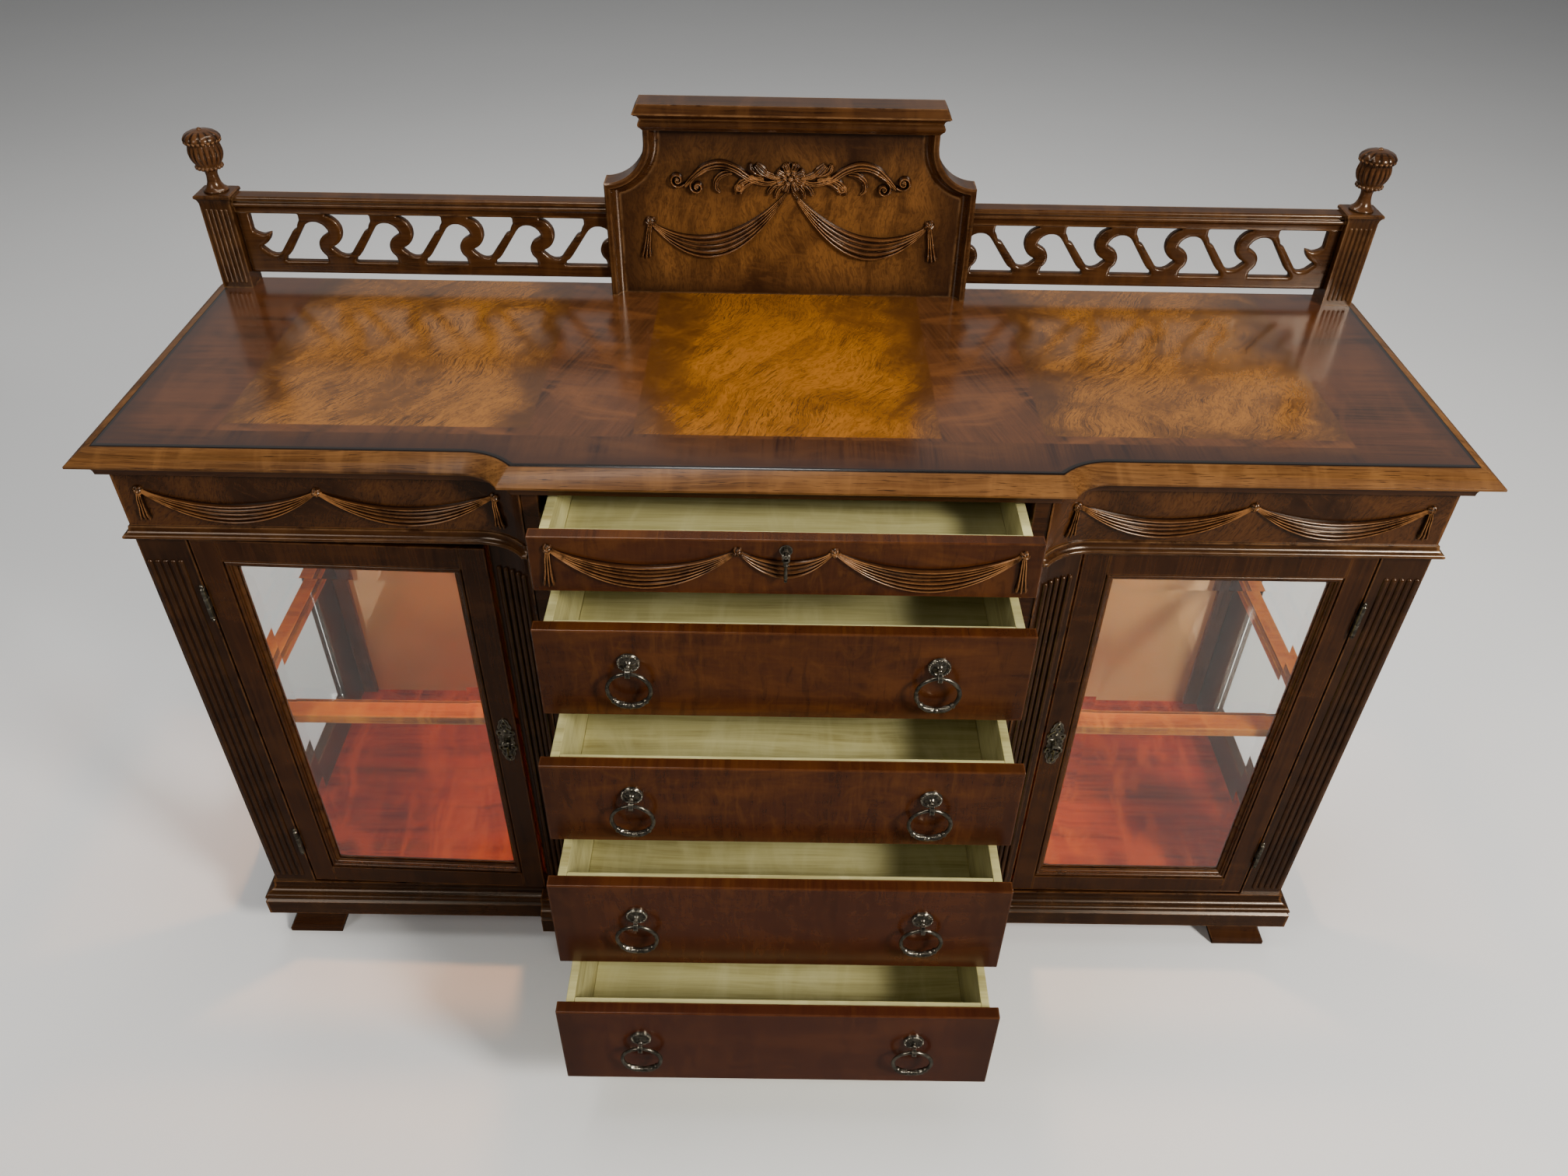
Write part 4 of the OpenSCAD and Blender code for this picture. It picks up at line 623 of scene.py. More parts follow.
def dress(name, look, bevel):
    shown = nodes[name]
    mesh = shown.data
    for index in range(max(1, len(mesh.materials))):
        if index < len(mesh.materials):
            mesh.materials[index] = materials[look]
        else:
            mesh.materials.append(materials[look])
    if "custom_normal" in mesh.attributes:
        mesh.attributes.remove(mesh.attributes["custom_normal"])
    rounded = look not in ("paneGlass", "mirrorGlass")
    mesh.polygons.foreach_set("use_smooth", [rounded] * len(mesh.polygons))
    if not rounded:
        return
    weld = shown.modifiers.new("Weld", "WELD")
    weld.merge_threshold = 0.00002
    if name == "gallery_fretwork":
        roundStrokes(shown)
    else:
        softenEdges(shown, bevel)


# Look of each CAD node, and the width of its softened edges in metres
dressing = {
    "top_board": ("topVeneer", 0.0006), "side_friezes": ("friezeVeneer", 0.0006),
    "waist_mouldings": ("mouldAcross", 0), "outer_pilasters": ("reedWood", 0.0006),
    "inner_pilasters": ("reedWood", 0), "face_frame": ("caseAcross", 0.0008),
    "side_frames": ("caseUpright", 0.001), "cabinet_panes": ("paneGlass", 0),
    "back_panel": ("backWood", 0.0008), "mirrors": ("mirrorGlass", 0),
    "cabinet_walls": ("insideUpright", 0.0006), "bottom_board": ("floorWood", 0),
    "plinth": ("plinthWoodPaintedShade", 0), "feet": ("caseAcross", 0.001), "drawer_runners": ("drawerWood", 0.0006),
    "shelf_frames": ("shelfWood", 0.001), "shelf_pins": ("agedBrass", 0),
    "cabinet_lights": ("lampBody", 0.0006), "gallery_posts": ("mouldUpright", 0.0006),
    "finials": ("mouldUpright", 0), "gallery_rails": ("mouldAcross", 0),
    "gallery_fretwork": ("mouldAcross", 0), "splat_panel": ("panelVeneer", 0),
    "splat_frame": ("mouldAcross", 0), "splat_carving": ("carvedWood", 0),
    "frieze_swags": ("carvedWood", 0), "door_hinges": ("agedBrass", 0.0003),
    "drawer_1_swags": ("carvedWood", 0), "drawer_1_plate": ("agedBrass", 0),
    "drawer_1_drop": ("agedBrass", 0)}
for side in ("left", "right"):
    dressing[side + "_door_frame"] = ("caseUpright", 0.001)
    dressing[side + "_door_glass"] = ("paneGlass", 0)
    dressing[side + "_door_fittings"] = ("agedBrass", 0.0003)
    dressing[side + "_door_drop"] = ("agedBrass", 0)
for index in range(1, 6):
    dressing["drawer_%d_front" % index] = ("frontVeneer", 0.0008)
    dressing["drawer_%d_box" % index] = ("drawerWood", 0.0012)
    if index > 1:
        for label in ("plates", "left_ring", "right_ring"):
            dressing["drawer_%d_%s" % (index, label)] = ("agedBrass", 0)
for name, (look, bevel) in dressing.items():
    dress(name, look, bevel)
print("nodes dressed")


def blend(values, amount):
    # Value of an even list of numbers at 0 to 1, eased between them
    place = min(max(amount, 0.0), 1.0) * (len(values) - 1)
    low = min(int(place), len(values) - 2)
    part = place - low
    part = part * part * (3 - 2 * part)
    return values[low] + (values[low + 1] - values[low]) * part


def smoothLine(corners, count):
    # Points of a smooth line through the corners
    line = []
    ends = [corners[0]] + list(corners) + [corners[-1]]
    for index in range(count + 1):
        place = index / count * (len(corners) - 1)
        low = min(int(place), len(corners) - 2)
        part = place - low
        a, b, c, d = ends[low], ends[low + 1], ends[low + 2], ends[low + 3]
        line.append(tuple(0.5 * (2 * q + (r - p) * part + (2 * p - 5 * q + 4 * r - s) * part ** 2
            + (3 * q - p - 3 * r + s) * part ** 3) for p, q, r, s in zip(a, b, c, d)))
    return line


def spiral(x, z, outer, inner, start, turns, count=9):
    # Corners of a spiral that winds in to its eye
    spots = []
    for index in range(int(count * abs(turns)) + 1):
        part = index / (count * abs(turns))
        angle = radians(start) + copysign(2 * pi, turns) * abs(turns) * part
        radius = outer + (inner - outer) * part ** 0.8
        spots.append((x + radius * cos(angle), z + radius * sin(angle)))
    return spots


class Shape:
    # Gathers grids of points in millimetres, measured from the back edge of the top,
    # with how deep each point lies in a hollow
    def __init__(self):
        self.points = []
        self.faces = []
        self.hollow = []

    def grid(self, rows, ring=False):
        start = len(self.points)
        wide = len(rows[0])
        for row in rows:
            for x, y, z, hollow in row:
                self.points.append((x / 1000, backY + y / 1000, z / 1000))
                self.hollow.append(hollow)
        for i in range(len(rows) - 1):
            for k in range(wide if ring else wide - 1):
                a, b = start + i * wide + k, start + i * wide + (k + 1) % wide
                self.faces.append((a, b, b + wide, a + wide))

    def face(self, rows):
        # A relief that faces the front, whichever way its rows run
        a, b, c = rows[len(rows) // 2][0], rows[len(rows) // 2][-1], rows[len(rows) // 2 - 1][0]
        first = Vector(b[:3]) - Vector(a[:3])
        second = Vector(c[:3]) - Vector(a[:3])
        self.grid(rows if first.cross(second).y > 0 else rows[::-1])

    def turned(self, centre, profile, axis="Z", around=48, lobes=None):
        # A turned piece; lobes(angle, step) gives the part of its radius and its hollow
        rows = []
        for step, (radius, along) in enumerate(profile):
            row = []
            for k in range(around):
                angle = 2 * pi * k / around
                part, hollow = lobes(angle, step / (len(profile) - 1)) if lobes else (1.0, 0.0)
                u, v = radius * part * cos(angle), radius * part * sin(angle)
                spot = (u, v, along) if axis == "Z" else (u, -along, v)
                row.append((centre[0] + spot[0], centre[1] + spot[1], centre[2] + spot[2], hollow))
            rows.append(row)
        self.grid(rows, ring=True)

    def mirrored(self):
        count = len(self.points)
        self.points += [(-x, y, z) for x, y, z in self.points]
        self.hollow += self.hollow
        self.faces += [tuple(count + k for k in face[::-1]) for face in self.faces]

    def done(self, name, look, body, replaces=()):
        mesh = bpy.data.meshes.new(name)
        mesh.from_pydata(self.points, [], self.faces)
        mesh.validate()
        mesh.attributes.new("Hollow", "FLOAT", "POINT").data.foreach_set("value", self.hollow)
        mesh.polygons.foreach_set("use_smooth", [True] * len(mesh.polygons))
        mesh.materials.append(materials[look])
        made = bpy.data.objects.new(name, mesh)
        bpy.context.scene.collection.objects.link(made)
        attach(made, body)
        if replaces:
            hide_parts(*replaces)


def strip(shape, spine, wide, high, base, ribs=3, lobes=0, samples=44, across=18, lobeDepth=0.35):
    # A carved leaf along a line, ribbed lengthwise and lobed along its edges
    line = smoothLine(spine, samples)
    rows = []
    for i, (x, z) in enumerate(line):
        t = i / samples
        back, ahead = line[max(i - 1, 0)], line[min(i + 1, samples)]
        run = Vector((ahead[0] - back[0], ahead[1] - back[1])).normalized()
        lobe = 1.0 - lobeDepth * (1 - abs(sin(pi * lobes * t)) ** 0.6) if lobes else 1.0
        half, rise = blend(wide, t) * lobe, blend(high, t)
        row = []
        for k in range(across + 1):
            u = 2 * k / across - 1
            ridge = abs(cos(pi * ribs * u / 2)) ** 0.7
            crown = sqrt(max(0.0, 1 - u * u))
            up = rise * crown * (0.45 + 0.55 * ridge) * (0.8 + 0.2 * lobe)
            # Hollow depth, which the carving's material paints darker as glaze and shade: grooves between
            # ribs, and the leaf's edge at the panel
            deep = (1 - ridge) * 0.9 + (0.5 if abs(u) > 0.9 else 0)
            up -= 1.2 if abs(u) > 0.99 else 0
            row.append((x - run.y * half * u, base(x) - up, z + run.x * half * u, deep))
        rows.append(row)
    shape.face(rows)


def drapedCloth(shape, a, b, topSag, lowSag, base, folds=5, deep=8.0, count=46):
    # A swag of gathered cloth that hangs from a to b
    across = folds * 8
    rows = []
    for i in range(count + 1):
        t = i / count
        swell = sin(pi * t) ** 0.7 if 0 < t < 1 else 0.0
        x = a[0] + (b[0] - a[0]) * t
        hang = 4 * t * (1 - t)
        top = a[1] + (b[1] - a[1]) * t + 2.5 - topSag * hang
        low = a[1] + (b[1] - a[1]) * t - 2.5 - lowSag * hang
        row = []
        for k in range(across + 1):
            f = k / across
            wander = 0.06 * sin(5 * t + 9 * f) * swell
            ridge = abs(sin(pi * folds * (f + wander * f * (1 - f))))
            edge = min(1.0, 14 * min(f, 1 - f) + 0.1)
            full = 3.0 + (deep - 3.0) * swell * (0.75 + 0.25 * sin(2.3 + 7 * f))
            up = full * (0.22 + 0.78 * ridge ** 0.75) * edge
            row.append((x, base(x) - up + (1.4 if k in (0, across) else 0), top + (low - top) * f,
                (1 - ridge) ** 1.5))
        rows.append(row)
    shape.face(rows)


def tasselCloth(shape, x, z, length, lean, base, folds=3):
    # The hanging end of the cloth under a knob, with an uneven hem
    wide = [3.2, 4.4, 5.0, 6.6, 9.0]
    count, across = 26, folds * 8
    rows = []
    for i in range(count + 1):
        t = i / count
        row = []
        for k in range(across + 1):
            u = 2 * k / across - 1
            ridge = abs(cos(pi * folds * u / 2))
            hem = 1.0 - 0.1 * (1 - ridge) - 0.05 * abs(u)
            spot = x + lean * t + blend(wide, t) * u
            lift = blend([4.5, 6.0, 5.5, 6.0, 4.2], t) * (0.3 + 0.7 * ridge ** 0.7)
            up = 0.2 if i == count else lift if abs(u) < 0.99 else 0
            row.append((spot, base(spot) - up + (1.0 if abs(u) > 0.99 or i == count else 0),
                z - length * t * hem, (1 - ridge) ** 1.3))
        rows.append(row)
    shape.face(rows)


def bud(shape, x, z, radius, base, petals=5, twist=3.5, high=0.85, around=40):
    # A small carved rose
    rows = []
    for i in range(13):
        part = 1 - i / 12
        row = []
        for k in range(around + 1):
            angle = 2 * pi * k / around
            leafy = abs(cos(petals * angle / 2 + twist * (1 - part)))
            out = radius * part * (0.88 + 0.12 * leafy * part)
            up = radius * high * sqrt(max(0.0, 1 - part * part)) * (0.72 + 0.28 * leafy)
            spot = x + out * cos(angle)
            row.append((spot, base(spot) - up + (1.2 if i == 0 else 0), z + out * sin(angle),
                (1 - leafy) * 0.9))
        rows.append(row)
    shape.face(rows)


# Leaves of the splat carving in millimetres above the top: their line, their half widths, their heights,
# their ribs and their lobes
splatLeaves = {
    "sweep": ([(14, 184), (34, 178), (60, 185), (82, 199), (104, 205), (126, 200), (144, 186), (157, 172)],
        [2, 4.5, 5.5, 6.5, 7.5, 7, 4.5, 3], [6, 8, 9, 10, 11, 10, 8, 7], 3, 0),
    "endScroll": (spiral(168, 182, 12.5, 1.5, 215, 1.6), [3.0, 3.2, 2.8, 2.2, 1.6], [7, 9, 10, 11, 12], 1, 0),
    "innerScroll": (spiral(139, 172, 12, 1.5, 70, -1.5), [2.4, 3.2, 3.0, 2.2, 1.6], [6, 9, 10, 11, 12], 1, 0),
    "innerStem": ([(120, 199), (132, 192), (140, 187), (144, 184)], [2, 3, 3, 2.4], [5, 8, 8, 7], 1, 0),
    "hook": ([(86, 193), (100, 191), (110, 182), (111, 170), (105, 163)], [3, 5, 4.5, 3.5, 2],
        [6, 9, 9, 8, 5], 2, 0),
    "fingerOne": ([(40, 184), (58, 185), (72, 180), (80, 171), (82, 161)], [3, 5, 5.5, 4.5, 2],
        [6, 8, 9, 8, 5], 3, 3),
    "fingerTwo": ([(48, 182), (62, 178), (72, 170), (74, 162)], [3, 4.5, 4, 2], [6, 8, 8, 5], 2, 0),
    "fan": ([(16, 186), (30, 189), (42, 196), (52, 206)], [3, 5, 8, 6.5], [6, 8, 10, 8], 4, 2),
    "fanTip": ([(34, 190), (48, 192), (58, 199), (60, 208)], [2.5, 4, 4.5, 2.5], [5, 8, 9, 6], 2, 0),
    "lowOne": ([(10, 178), (22, 176), (30, 168), (34, 160)], [2.5, 4.5, 4, 2], [5, 8, 8, 5], 2, 0),
    "lowTwo": ([(8, 176), (16, 171), (20, 164), (21, 156)], [2.5, 4, 3.6, 1.8], [5, 8, 7, 5], 2, 0),
    "curl": (spiral(77, 172, 7.5, 1.2, 120, 1.3), [2.0, 2.6, 2.2, 1.4], [6, 8, 9, 9], 1, 0)}
# The rose in the middle, the small roses of the scrolls, and the drape with its rose and tassel
splatRose = {"z": 187, "petals": 8, "line": (6, 14, 20, 23), "wide": [3, 6.5, 7.5, 3], "high": [8, 9, 10, 4],
    "buds": 6, "budCircle": 8.5, "budSize": 4.6, "eye": 5}
scrollRoses = ((168, 182, 4.2), (139, 172, 4.0), (77, 172, 3.2))
splatDrape = {"from": (4, 164), "to": (209, 112), "sags": (40, 74), "folds": 5, "deep": 8.5,
    "rose": (212, 116, 9), "tassel": (213, 112, 56, 8)}


def splatCarving():
    # The carving stands on the splat panel
    plane = (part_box("splat_panel")[0][1] - backY) * 1000
    top = topZ * 1000
    base = lambda x: plane
    shape = Shape()
    for corners, wide, high, ribs, lobes in splatLeaves.values():
        strip(shape, [(x, top + z) for x, z in corners], wide, high, base, ribs=ribs, lobes=lobes)
    for x, z, radius in scrollRoses:
        bud(shape, x, top + z, radius, lambda at: plane - 5, petals=4, around=24)
    first, last = splatDrape["from"], splatDrape["to"]
    drapedCloth(shape, (first[0], top + first[1]), (last[0], top + last[1]), *splatDrape["sags"], base,
        folds=splatDrape["folds"], deep=splatDrape["deep"], count=60)
    x, z, radius = splatDrape["rose"]
    bud(shape, x, top + z, radius, base)
    x, z, length, lean = splatDrape["tassel"]
    tasselCloth(shape, x, top + z, length, lean, base)
    shape.mirrored()
    height = splatRose["z"]
    for k in range(splatRose["petals"]):
        angle = radians(45 * k + 22.5)
        petal = [(out * cos(angle), top + height + out * sin(angle)) for out in splatRose["line"]]
        strip(shape, petal, splatRose["wide"], splatRose["high"], base, ribs=3, lobes=0, samples=14,
            across=14)
    for k in range(splatRose["buds"]):
        angle = radians(60 * k)
        out = splatRose["budCircle"]
        bud(shape, out * cos(angle), top + height + out * sin(angle), splatRose["budSize"],
            lambda at: plane - 7, petals=3, around=24)
    bud(shape, 0, top + height, splatRose["eye"], lambda at: plane - 9, petals=6, around=30)
    shape.done("splatCarving", "carvedWood", "case", ["splat_carving"])


# Swags in millimetres: those of the friezes follow the hollow corner, those of the drawer are flat
swags = {"z": 967.0, "coveX": 412.97, "coveRadius": 90.0, "middle": -497.0, "inset": 29, "end": 852.0,
    "sags": (22, 47), "rose": 7.5, "tassel": 46}
drawerSwags = {"below": 17, "from": 62, "to": 291, "sags": (24, 54), "folds": 6, "deep": 8.5, "tassel": 56,
    "middle": 57, "middleSags": (14, 36), "middleFolds": 4, "middleDeep": 7}


def hangingSwags():
    # The swags on the two friezes and on the top drawer
    coveX, coveR, z = swags["coveX"], swags["coveRadius"], swags["z"]

    def cove(x):
        return swags["middle"] + (sqrt(coveR ** 2 - (coveX - x) ** 2) - coveR if x < coveX else 0.0)
    shape = Shape()
    x0, x2 = coveX - swags["inset"], swags["end"]
    x1 = (x0 + x2) / 2
    drapedCloth(shape, (x0 + 3, z - 1), (x1 - 2, z - 1), *swags["sags"], cove)
    drapedCloth(shape, (x1 + 2, z - 1), (x2 - 3, z - 1), *swags["sags"], cove)
    for x in (x0, x1, x2):
        bud(shape, x, z, swags["rose"], cove)
    tasselCloth(shape, x0, z - 4, swags["tassel"], -3, cove)
    tasselCloth(shape, x2, z - 4, swags["tassel"], 3, cove)
    shape.mirrored()
    shape.done("friezeSwags", "carvedWood", "case", ["frieze_swags"])
    low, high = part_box("drawer_1_front")
    face = (low[1] - backY) * 1000
    z = high[2] * 1000 - drawerSwags["below"]
    flat = lambda x: face
    shape = Shape()
    drapedCloth(shape, (drawerSwags["from"], z - 1), (drawerSwags["to"], z - 1), *drawerSwags["sags"], flat,
        folds=drawerSwags["folds"], deep=drawerSwags["deep"], count=56)
    bud(shape, drawerSwags["from"] - 2, z, swags["rose"], flat)
    bud(shape, drawerSwags["to"] + 2, z, swags["rose"], flat)
    tasselCloth(shape, drawerSwags["to"] + 2, z - 4, drawerSwags["tassel"], 3, flat)
    shape.mirrored()
    drapedCloth(shape, (-drawerSwags["middle"], z - 1), (drawerSwags["middle"], z - 1),
        *drawerSwags["middleSags"], flat, folds=drawerSwags["middleFolds"], deep=drawerSwags["middleDeep"])
    shape.done("drawerSwags", "carvedWood", "drawer_1", ["drawer_1_swags"])


def lobed(count, depth, low=0.0, high=1.0):
    # Round lobes between two parts of a turned piece's height
    def lobes(angle, part):
        if not low < part < high:
            return 1.0, 0.0
        ease = min(1.0, (part - low) * 10, (high - part) * 10)
        ridge = abs(cos(count * angle / 2)) ** 0.6
        return 1.0 - depth * (1 - ridge) * ease, (1 - ridge) * ease
    return lobes


# Finial in millimetres: radius and height down its side, then count, circle, height and size of the beads
finial = {
    "bowl": [(0, 0), (18, 0), (18, 2.2), (17.2, 3.2), (15.5, 4.2), (13.2, 6.5), (11.0, 10), (9.6, 14),
        (8.7, 19), (8.4, 24), (8.9, 28), (10.5, 31), (13.0, 33), (16.0, 34.5), (17.5, 37), (17.0, 40),
        (19.5, 43), (22.0, 47), (23.8, 52), (24.6, 57), (24.2, 62), (22.8, 68), (22.0, 73), (23.0, 75)],
    "cap": [(23.0, 75), (26.2, 75.6), (26.9, 77.5), (26.4, 80), (24.4, 83), (21.0, 85.6), (16.5, 87.6),
        (11.0, 89), (5.5, 89.8), (3.2, 90.2), (3.0, 91.6), (1.8, 92.7), (0, 93)],
    "bowlLobes": (18, 0.13, 0.66, 0.97), "capLobes": (12, 0.05, 0.05, 0.6),
    "beads": ((18, 17.6, 37.0, 2.9), (22, 24.2, 74.6, 2.7))}


def finialPair():
    low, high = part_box("finials")
    foot = low[2] * 1000
    x = high[0] * 1000 - (high[1] - low[1]) * 500
    y = ((low[1] + high[1]) / 2 - backY) * 1000
    shape = Shape()
    shape.turned((x, y, foot), finial["bowl"], around=168, lobes=lobed(*finial["bowlLobes"]))
    shape.turned((x, y, foot), finial["cap"], around=96, lobes=lobed(*finial["capLobes"]))
    ball = [(0, -1)] + [(sin(pi * k / 8), -cos(pi * k / 8)) for k in range(1, 8)] + [(0, 1)]
    for count, circle, height, size in finial["beads"]:
        bead = [(size * r, size * h) for r, h in ball]
        for k in range(count):
            angle = 2 * pi * k / count
            spot = (x + circle * cos(angle), y + circle * sin(angle), foot + height)
            shape.turned(spot, bead, around=12)
    shape.mirrored()
    shape.done("finialPair", "carvedDark", "case", ["finials"])


# Rosettes and ring pulls of drawers 2 to 5, in millimetres and degrees
pull = {"plate": 15.0, "petalSteps": 14, "beads": 26, "beadCircle": 13.4, "beadSize": (1.5, 1.7),
    "ring": 31.0, "thick": 3.0, "thinner": 0.4, "thinFrom": 140, "leafEnd": 46, "leafThick": 1.6,
    "knotAt": 48, "knotHalf": 5}


def ringPulls(index):
    # Petals on both plates of a drawer, and its two leafy rings
    low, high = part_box("drawer_%d_plates" % index)
    face = (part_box("drawer_%d_front" % index)[0][1] - backY) * 1000
    radius = pull["plate"]
    x, z = high[0] * 1000 - radius, high[2] * 1000 - radius
    shape = Shape()
    rows = []
    for step in range(pull["petalSteps"] + 1):
        part = 1 - step / pull["petalSteps"]
        row = []
        for k in range(97):
            angle = 2 * pi * k / 96
            leafy = abs(cos(4 * angle)) ** 0.7
            vein = abs(cos(12 * angle))
            out = radius * 0.86 * part
            swell = sin(pi * min(1, part * 1.05))
            up = 2.0 + 3.4 * (1 - part) ** 0.7 + 0.9 * leafy * swell + 0.25 * vein * part
            row.append((x + out * cos(angle), face - (up if step else 1.6), z + out * sin(angle),
                (1 - leafy) * 0.8))
        rows.append(row)
    shape.face(rows)
    circle = pull["beadCircle"]
    wide, high = pull["beadSize"]
    bead = [(wide * cos(pi * k / 10), high * sin(pi * k / 10)) for k in range(6)]
    for k in range(pull["beads"]):
        angle = 2 * pi * k / pull["beads"]
        shape.turned((x + circle * cos(angle), face - 3.2, z + circle * sin(angle)), bead, axis="Y",
            around=10)
    shape.mirrored()
    shape.done("drawer%dPetals" % index, "agedBrass", "drawer_%d" % index)
    for side in ("left", "right"):
        low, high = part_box("drawer_%d_%s_ring" % (index, side))
        sign = -1 if side == "left" else 1
        middle = (sign * x, ((low[1] + high[1]) / 2 - backY) * 1000, high[2] * 1000 - pull["ring"])
        shape = Shape()
        rows = []
        for i in range(128):
            angle = 2 * pi * i / 128
            turn = (degrees(angle) + 180) % 360 - 180
            away = abs(turn + 90)
            plain = pull["thick"] - pull["thinner"] * min(1.0, max(0.0, (away - pull["thinFrom"]) / 20))
            thick, ribs = plain, 0.0
            if away < pull["leafEnd"]:
                part = away / pull["leafEnd"]
                thick = 3.1 + pull["leafThick"] * sin(pi * part) ** 0.8
                ribs = 1.1 * min(1.0, 4 * part, 4 * (1 - part))
            knot = min(away, abs(away - pull["knotAt"]))
            if knot < pull["knotHalf"]:
                thick = max(thick, 3.0 + 1.6 * cos(pi * knot / 10))
            row = []
            for k in range(24):
                turnAround = 2 * pi * k / 24
                size = thick + ribs * (abs(cos(3 * turnAround + radians(away) * 5)) - 0.6)
                size -= 0.35 * ribs * abs(sin(radians(away) * 24))
                out = pull["ring"] - plain + size * cos(turnAround)
                row.append((middle[0] + out * cos(angle), middle[1] - size * sin(turnAround),
                    middle[2] + out * sin(angle), 0.0))
            rows.append(row)
        rows.append(rows[0])
        shape.grid(rows, ring=True)
        shape.done("drawer%d%sRing" % (index, side.capitalize()), "agedBrass",
            "drawer_%d_%s_pull" % (index, side), ["drawer_%d_%s_ring" % (index, side)])


# Lock plates: middle and face of the right one in millimetres, and the hinge and angle of the left door
lockPlate = {"x": 426.0, "z": 514.0, "face": -499.0, "hinge": (-0.8145, backY - 0.502, 0), "ajar": -1.5,
    "curve": [(3, 9), (10, 10), (12, 17), (8, 23), (3, 28), (5, 34), (1, 40)],
    "wide": [1.0, 1.5, 1.5, 1.3, 1.4, 1.2, 0.8], "high": [0.8, 1.5, 1.6, 1.4, 1.5, 1.3, 0.8]}


def plateRelief():
    # Raised scroll lines and beads on the lock plates of both doors
    x, z = lockPlate["x"], lockPlate["z"]
    base = lambda at: lockPlate["face"]
    for side in ("left", "right"):
        shape = Shape()
        for flip in (-1, 1):
            for part in (-1, 1):
                curve = [(x + part * out, z + flip * up) for out, up in lockPlate["curve"]]
                strip(shape, curve, lockPlate["wide"], lockPlate["high"], base, ribs=1, samples=30, across=8)
            bud(shape, x, z + flip * 43, 2.4, base, around=20)
            bud(shape, x, z + flip * 21, 3.0, base, around=24)
        if side == "left":
            shape.points = [(-a, b, c) for a, b, c in shape.points]
            shape.faces = [face[::-1] for face in shape.faces]
            hinge = Matrix.Translation(lockPlate["hinge"])
            turn = hinge @ Matrix.Rotation(radians(lockPlate["ajar"]), 4, "Z") @ hinge.inverted()
            shape.points = [tuple(turn @ Vector(spot)) for spot in shape.points]
        shape.done(side + "PlateRelief", "agedBrass", side + "_door")


splatCarving()
hangingSwags()
finialPair()
for index in range(2, 6):
    ringPulls(index)
plateRelief()
print("carving and hardware made")


# Lamps of the stage: place, aim, width, height, power and colour
lamps = {
    "key": ((2.5, -2.2, 2.9), (0.0, 0.0, 0.7), 0.8, 0.8, 184, (1.0, 0.96, 0.9)),
    "fill": ((-2.4, -2.4, 3.2), (0.0, 0.0, 0.6), 1.3, 1.3, 34, (1.0, 0.97, 0.94)),
    "back": ((-0.8, 2.6, 3.2), (0.0, 0.0, 1.0), 2.4, 0.7, 30, (1.0, 0.98, 0.95)),
    "strip": ((-0.4, 0.4, 3.1), (0.0, 0.2, 0.9), 2.4, 0.22, 22, (1.0, 0.97, 0.92)),
    "floor": ((0.0, 1.0, 5.5), (0.0, 1.6, 0.0), 6.0, 5.0, 158, (1.0, 1.0, 1.0))}
# Glow under the ceiling of each cabinet: power and colour on the left (-1) and on the right (1)
glows = {-1: (17, (1.0, 0.42, 0.13)), 1: (12, (1.0, 0.52, 0.26))}
stage = {"half": 9.0, "pale": ((0.83, 0.83, 0.82), (0.86, 0.86, 0.85)), "mirrored": (0.1, 0.1, 0.1),
    "sky": ((0.95, 0.95, 0.94), (0.16, 0.165, 0.175)), "seen": ((0.06, 0.06, 0.065), (0.62, 0.6, 0.58)),
    "light": 0.45}


def addLamp(label, data, spot, power, tint):
    data.energy = power
    data.color = tint
    lamp = bpy.data.objects.new(label, data)
    lamp.location = spot
    bpy.context.scene.collection.objects.link(lamp)
    return lamp


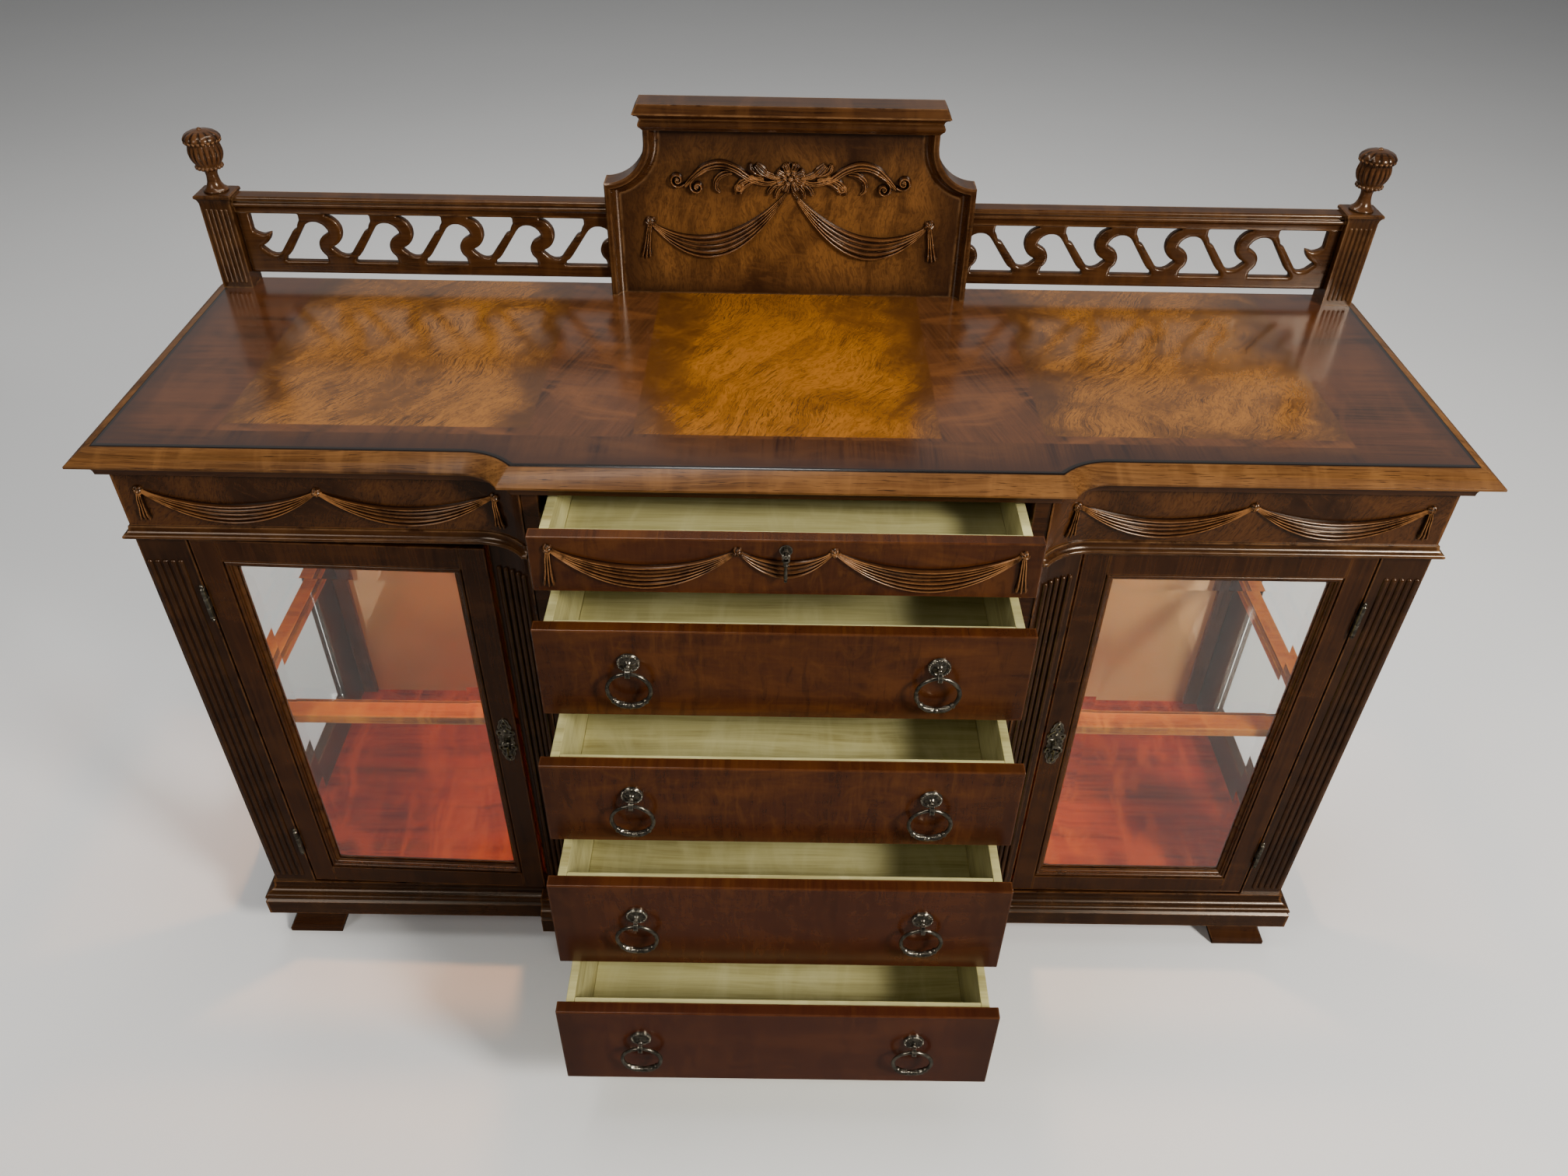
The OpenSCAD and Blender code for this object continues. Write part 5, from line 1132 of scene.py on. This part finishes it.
def floorAndLights():
    mesh = bpy.data.meshes.new("floor")
    half = stage["half"]
    mesh.from_pydata([(-half, -half, 0), (half, -half, 0), (half, half, 0), (-half, half, 0)], [],
        [(0, 1, 2, 3)])
    floor = bpy.data.objects.new("floor", mesh)
    bpy.context.scene.collection.objects.link(floor)
    graph, shader, place = newMaterial("paleFloor")
    pale = graph.mix(graph.noise(place, 2.0, 3, 0.5), *stage["pale"])
    graph.fill(shader, {"Base Color": graph.mix(graph.mirroredRay(), pale, stage["mirrored"]),
        "Roughness": 0.7})
    mesh.materials.append(materials["paleFloor"])
    world = bpy.data.worlds.new("studio")
    bpy.context.scene.world = world
    world.use_nodes = True
    graph = Graph(world.node_tree)
    facing = graph.split(graph.add("ShaderNodeTexCoord").outputs["Generated"])
    sky = graph.mix(graph.steps(facing[2], -0.05, 0.55), *stage["sky"])
    seen = graph.mix(graph.steps(facing[1], 0.25, 0.7), *stage["seen"])
    backdrop = world.node_tree.nodes["Background"].inputs
    graph.feed(backdrop[0], graph.mix(graph.mirroredRay(), sky, seen))
    backdrop[1].default_value = stage["light"]
    for label, (spot, aim, wide, tall, power, tint) in lamps.items():
        data = bpy.data.lights.new(label, "AREA")
        data.shape = "RECTANGLE"
        data.size = wide
        data.size_y = tall
        lamp = addLamp(label, data, spot, power, tint)
        lamp.rotation_euler = (Vector(aim) - Vector(spot)).to_track_quat("-Z", "Y").to_euler()
        lamp.visible_glossy = label not in ("floor", "back")
    low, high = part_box("cabinet_lights")
    for sign, (power, tint) in glows.items():
        data = bpy.data.lights.new("cabinetGlow", "SPOT")
        data.spot_size = radians(142)
        data.spot_blend = 0.9
        data.shadow_soft_size = 0.03
        addLamp("cabinetGlow", data, (sign * (high[0] - 0.032), (low[1] + high[1]) / 2, low[2] - 0.012),
            power, tint)


# Place, turn and lens of the camera, solved from the straight edges of the piece
photo = {"yaw": 0.0059, "pitch": 0.683, "roll": -0.0191, "spot": (-0.0084, backY - 1.776, topZ + 0.8195),
    "lens": 27.1}


def photoCamera():
    yaw, pitch, roll = photo["yaw"], photo["pitch"], photo["roll"]
    forward = Vector((sin(yaw) * cos(pitch), cos(yaw) * cos(pitch), -sin(pitch)))
    level = Vector((cos(yaw), -sin(yaw), 0))
    down = forward.cross(level)
    right = cos(roll) * level + sin(roll) * down
    below = cos(roll) * down - sin(roll) * level
    spot = Vector(photo["spot"])
    data = bpy.data.cameras.new("camera")
    data.lens = photo["lens"]
    data.sensor_width = 36
    camera = bpy.data.objects.new("camera", data)
    bpy.context.scene.collection.objects.link(camera)
    camera.matrix_world = Matrix((
        (right.x, -below.x, -forward.x, spot.x), (right.y, -below.y, -forward.y, spot.y),
        (right.z, -below.z, -forward.z, spot.z), (0, 0, 0, 1)))
    bpy.context.scene.camera = camera


floorAndLights()
photoCamera()
print("stage set")
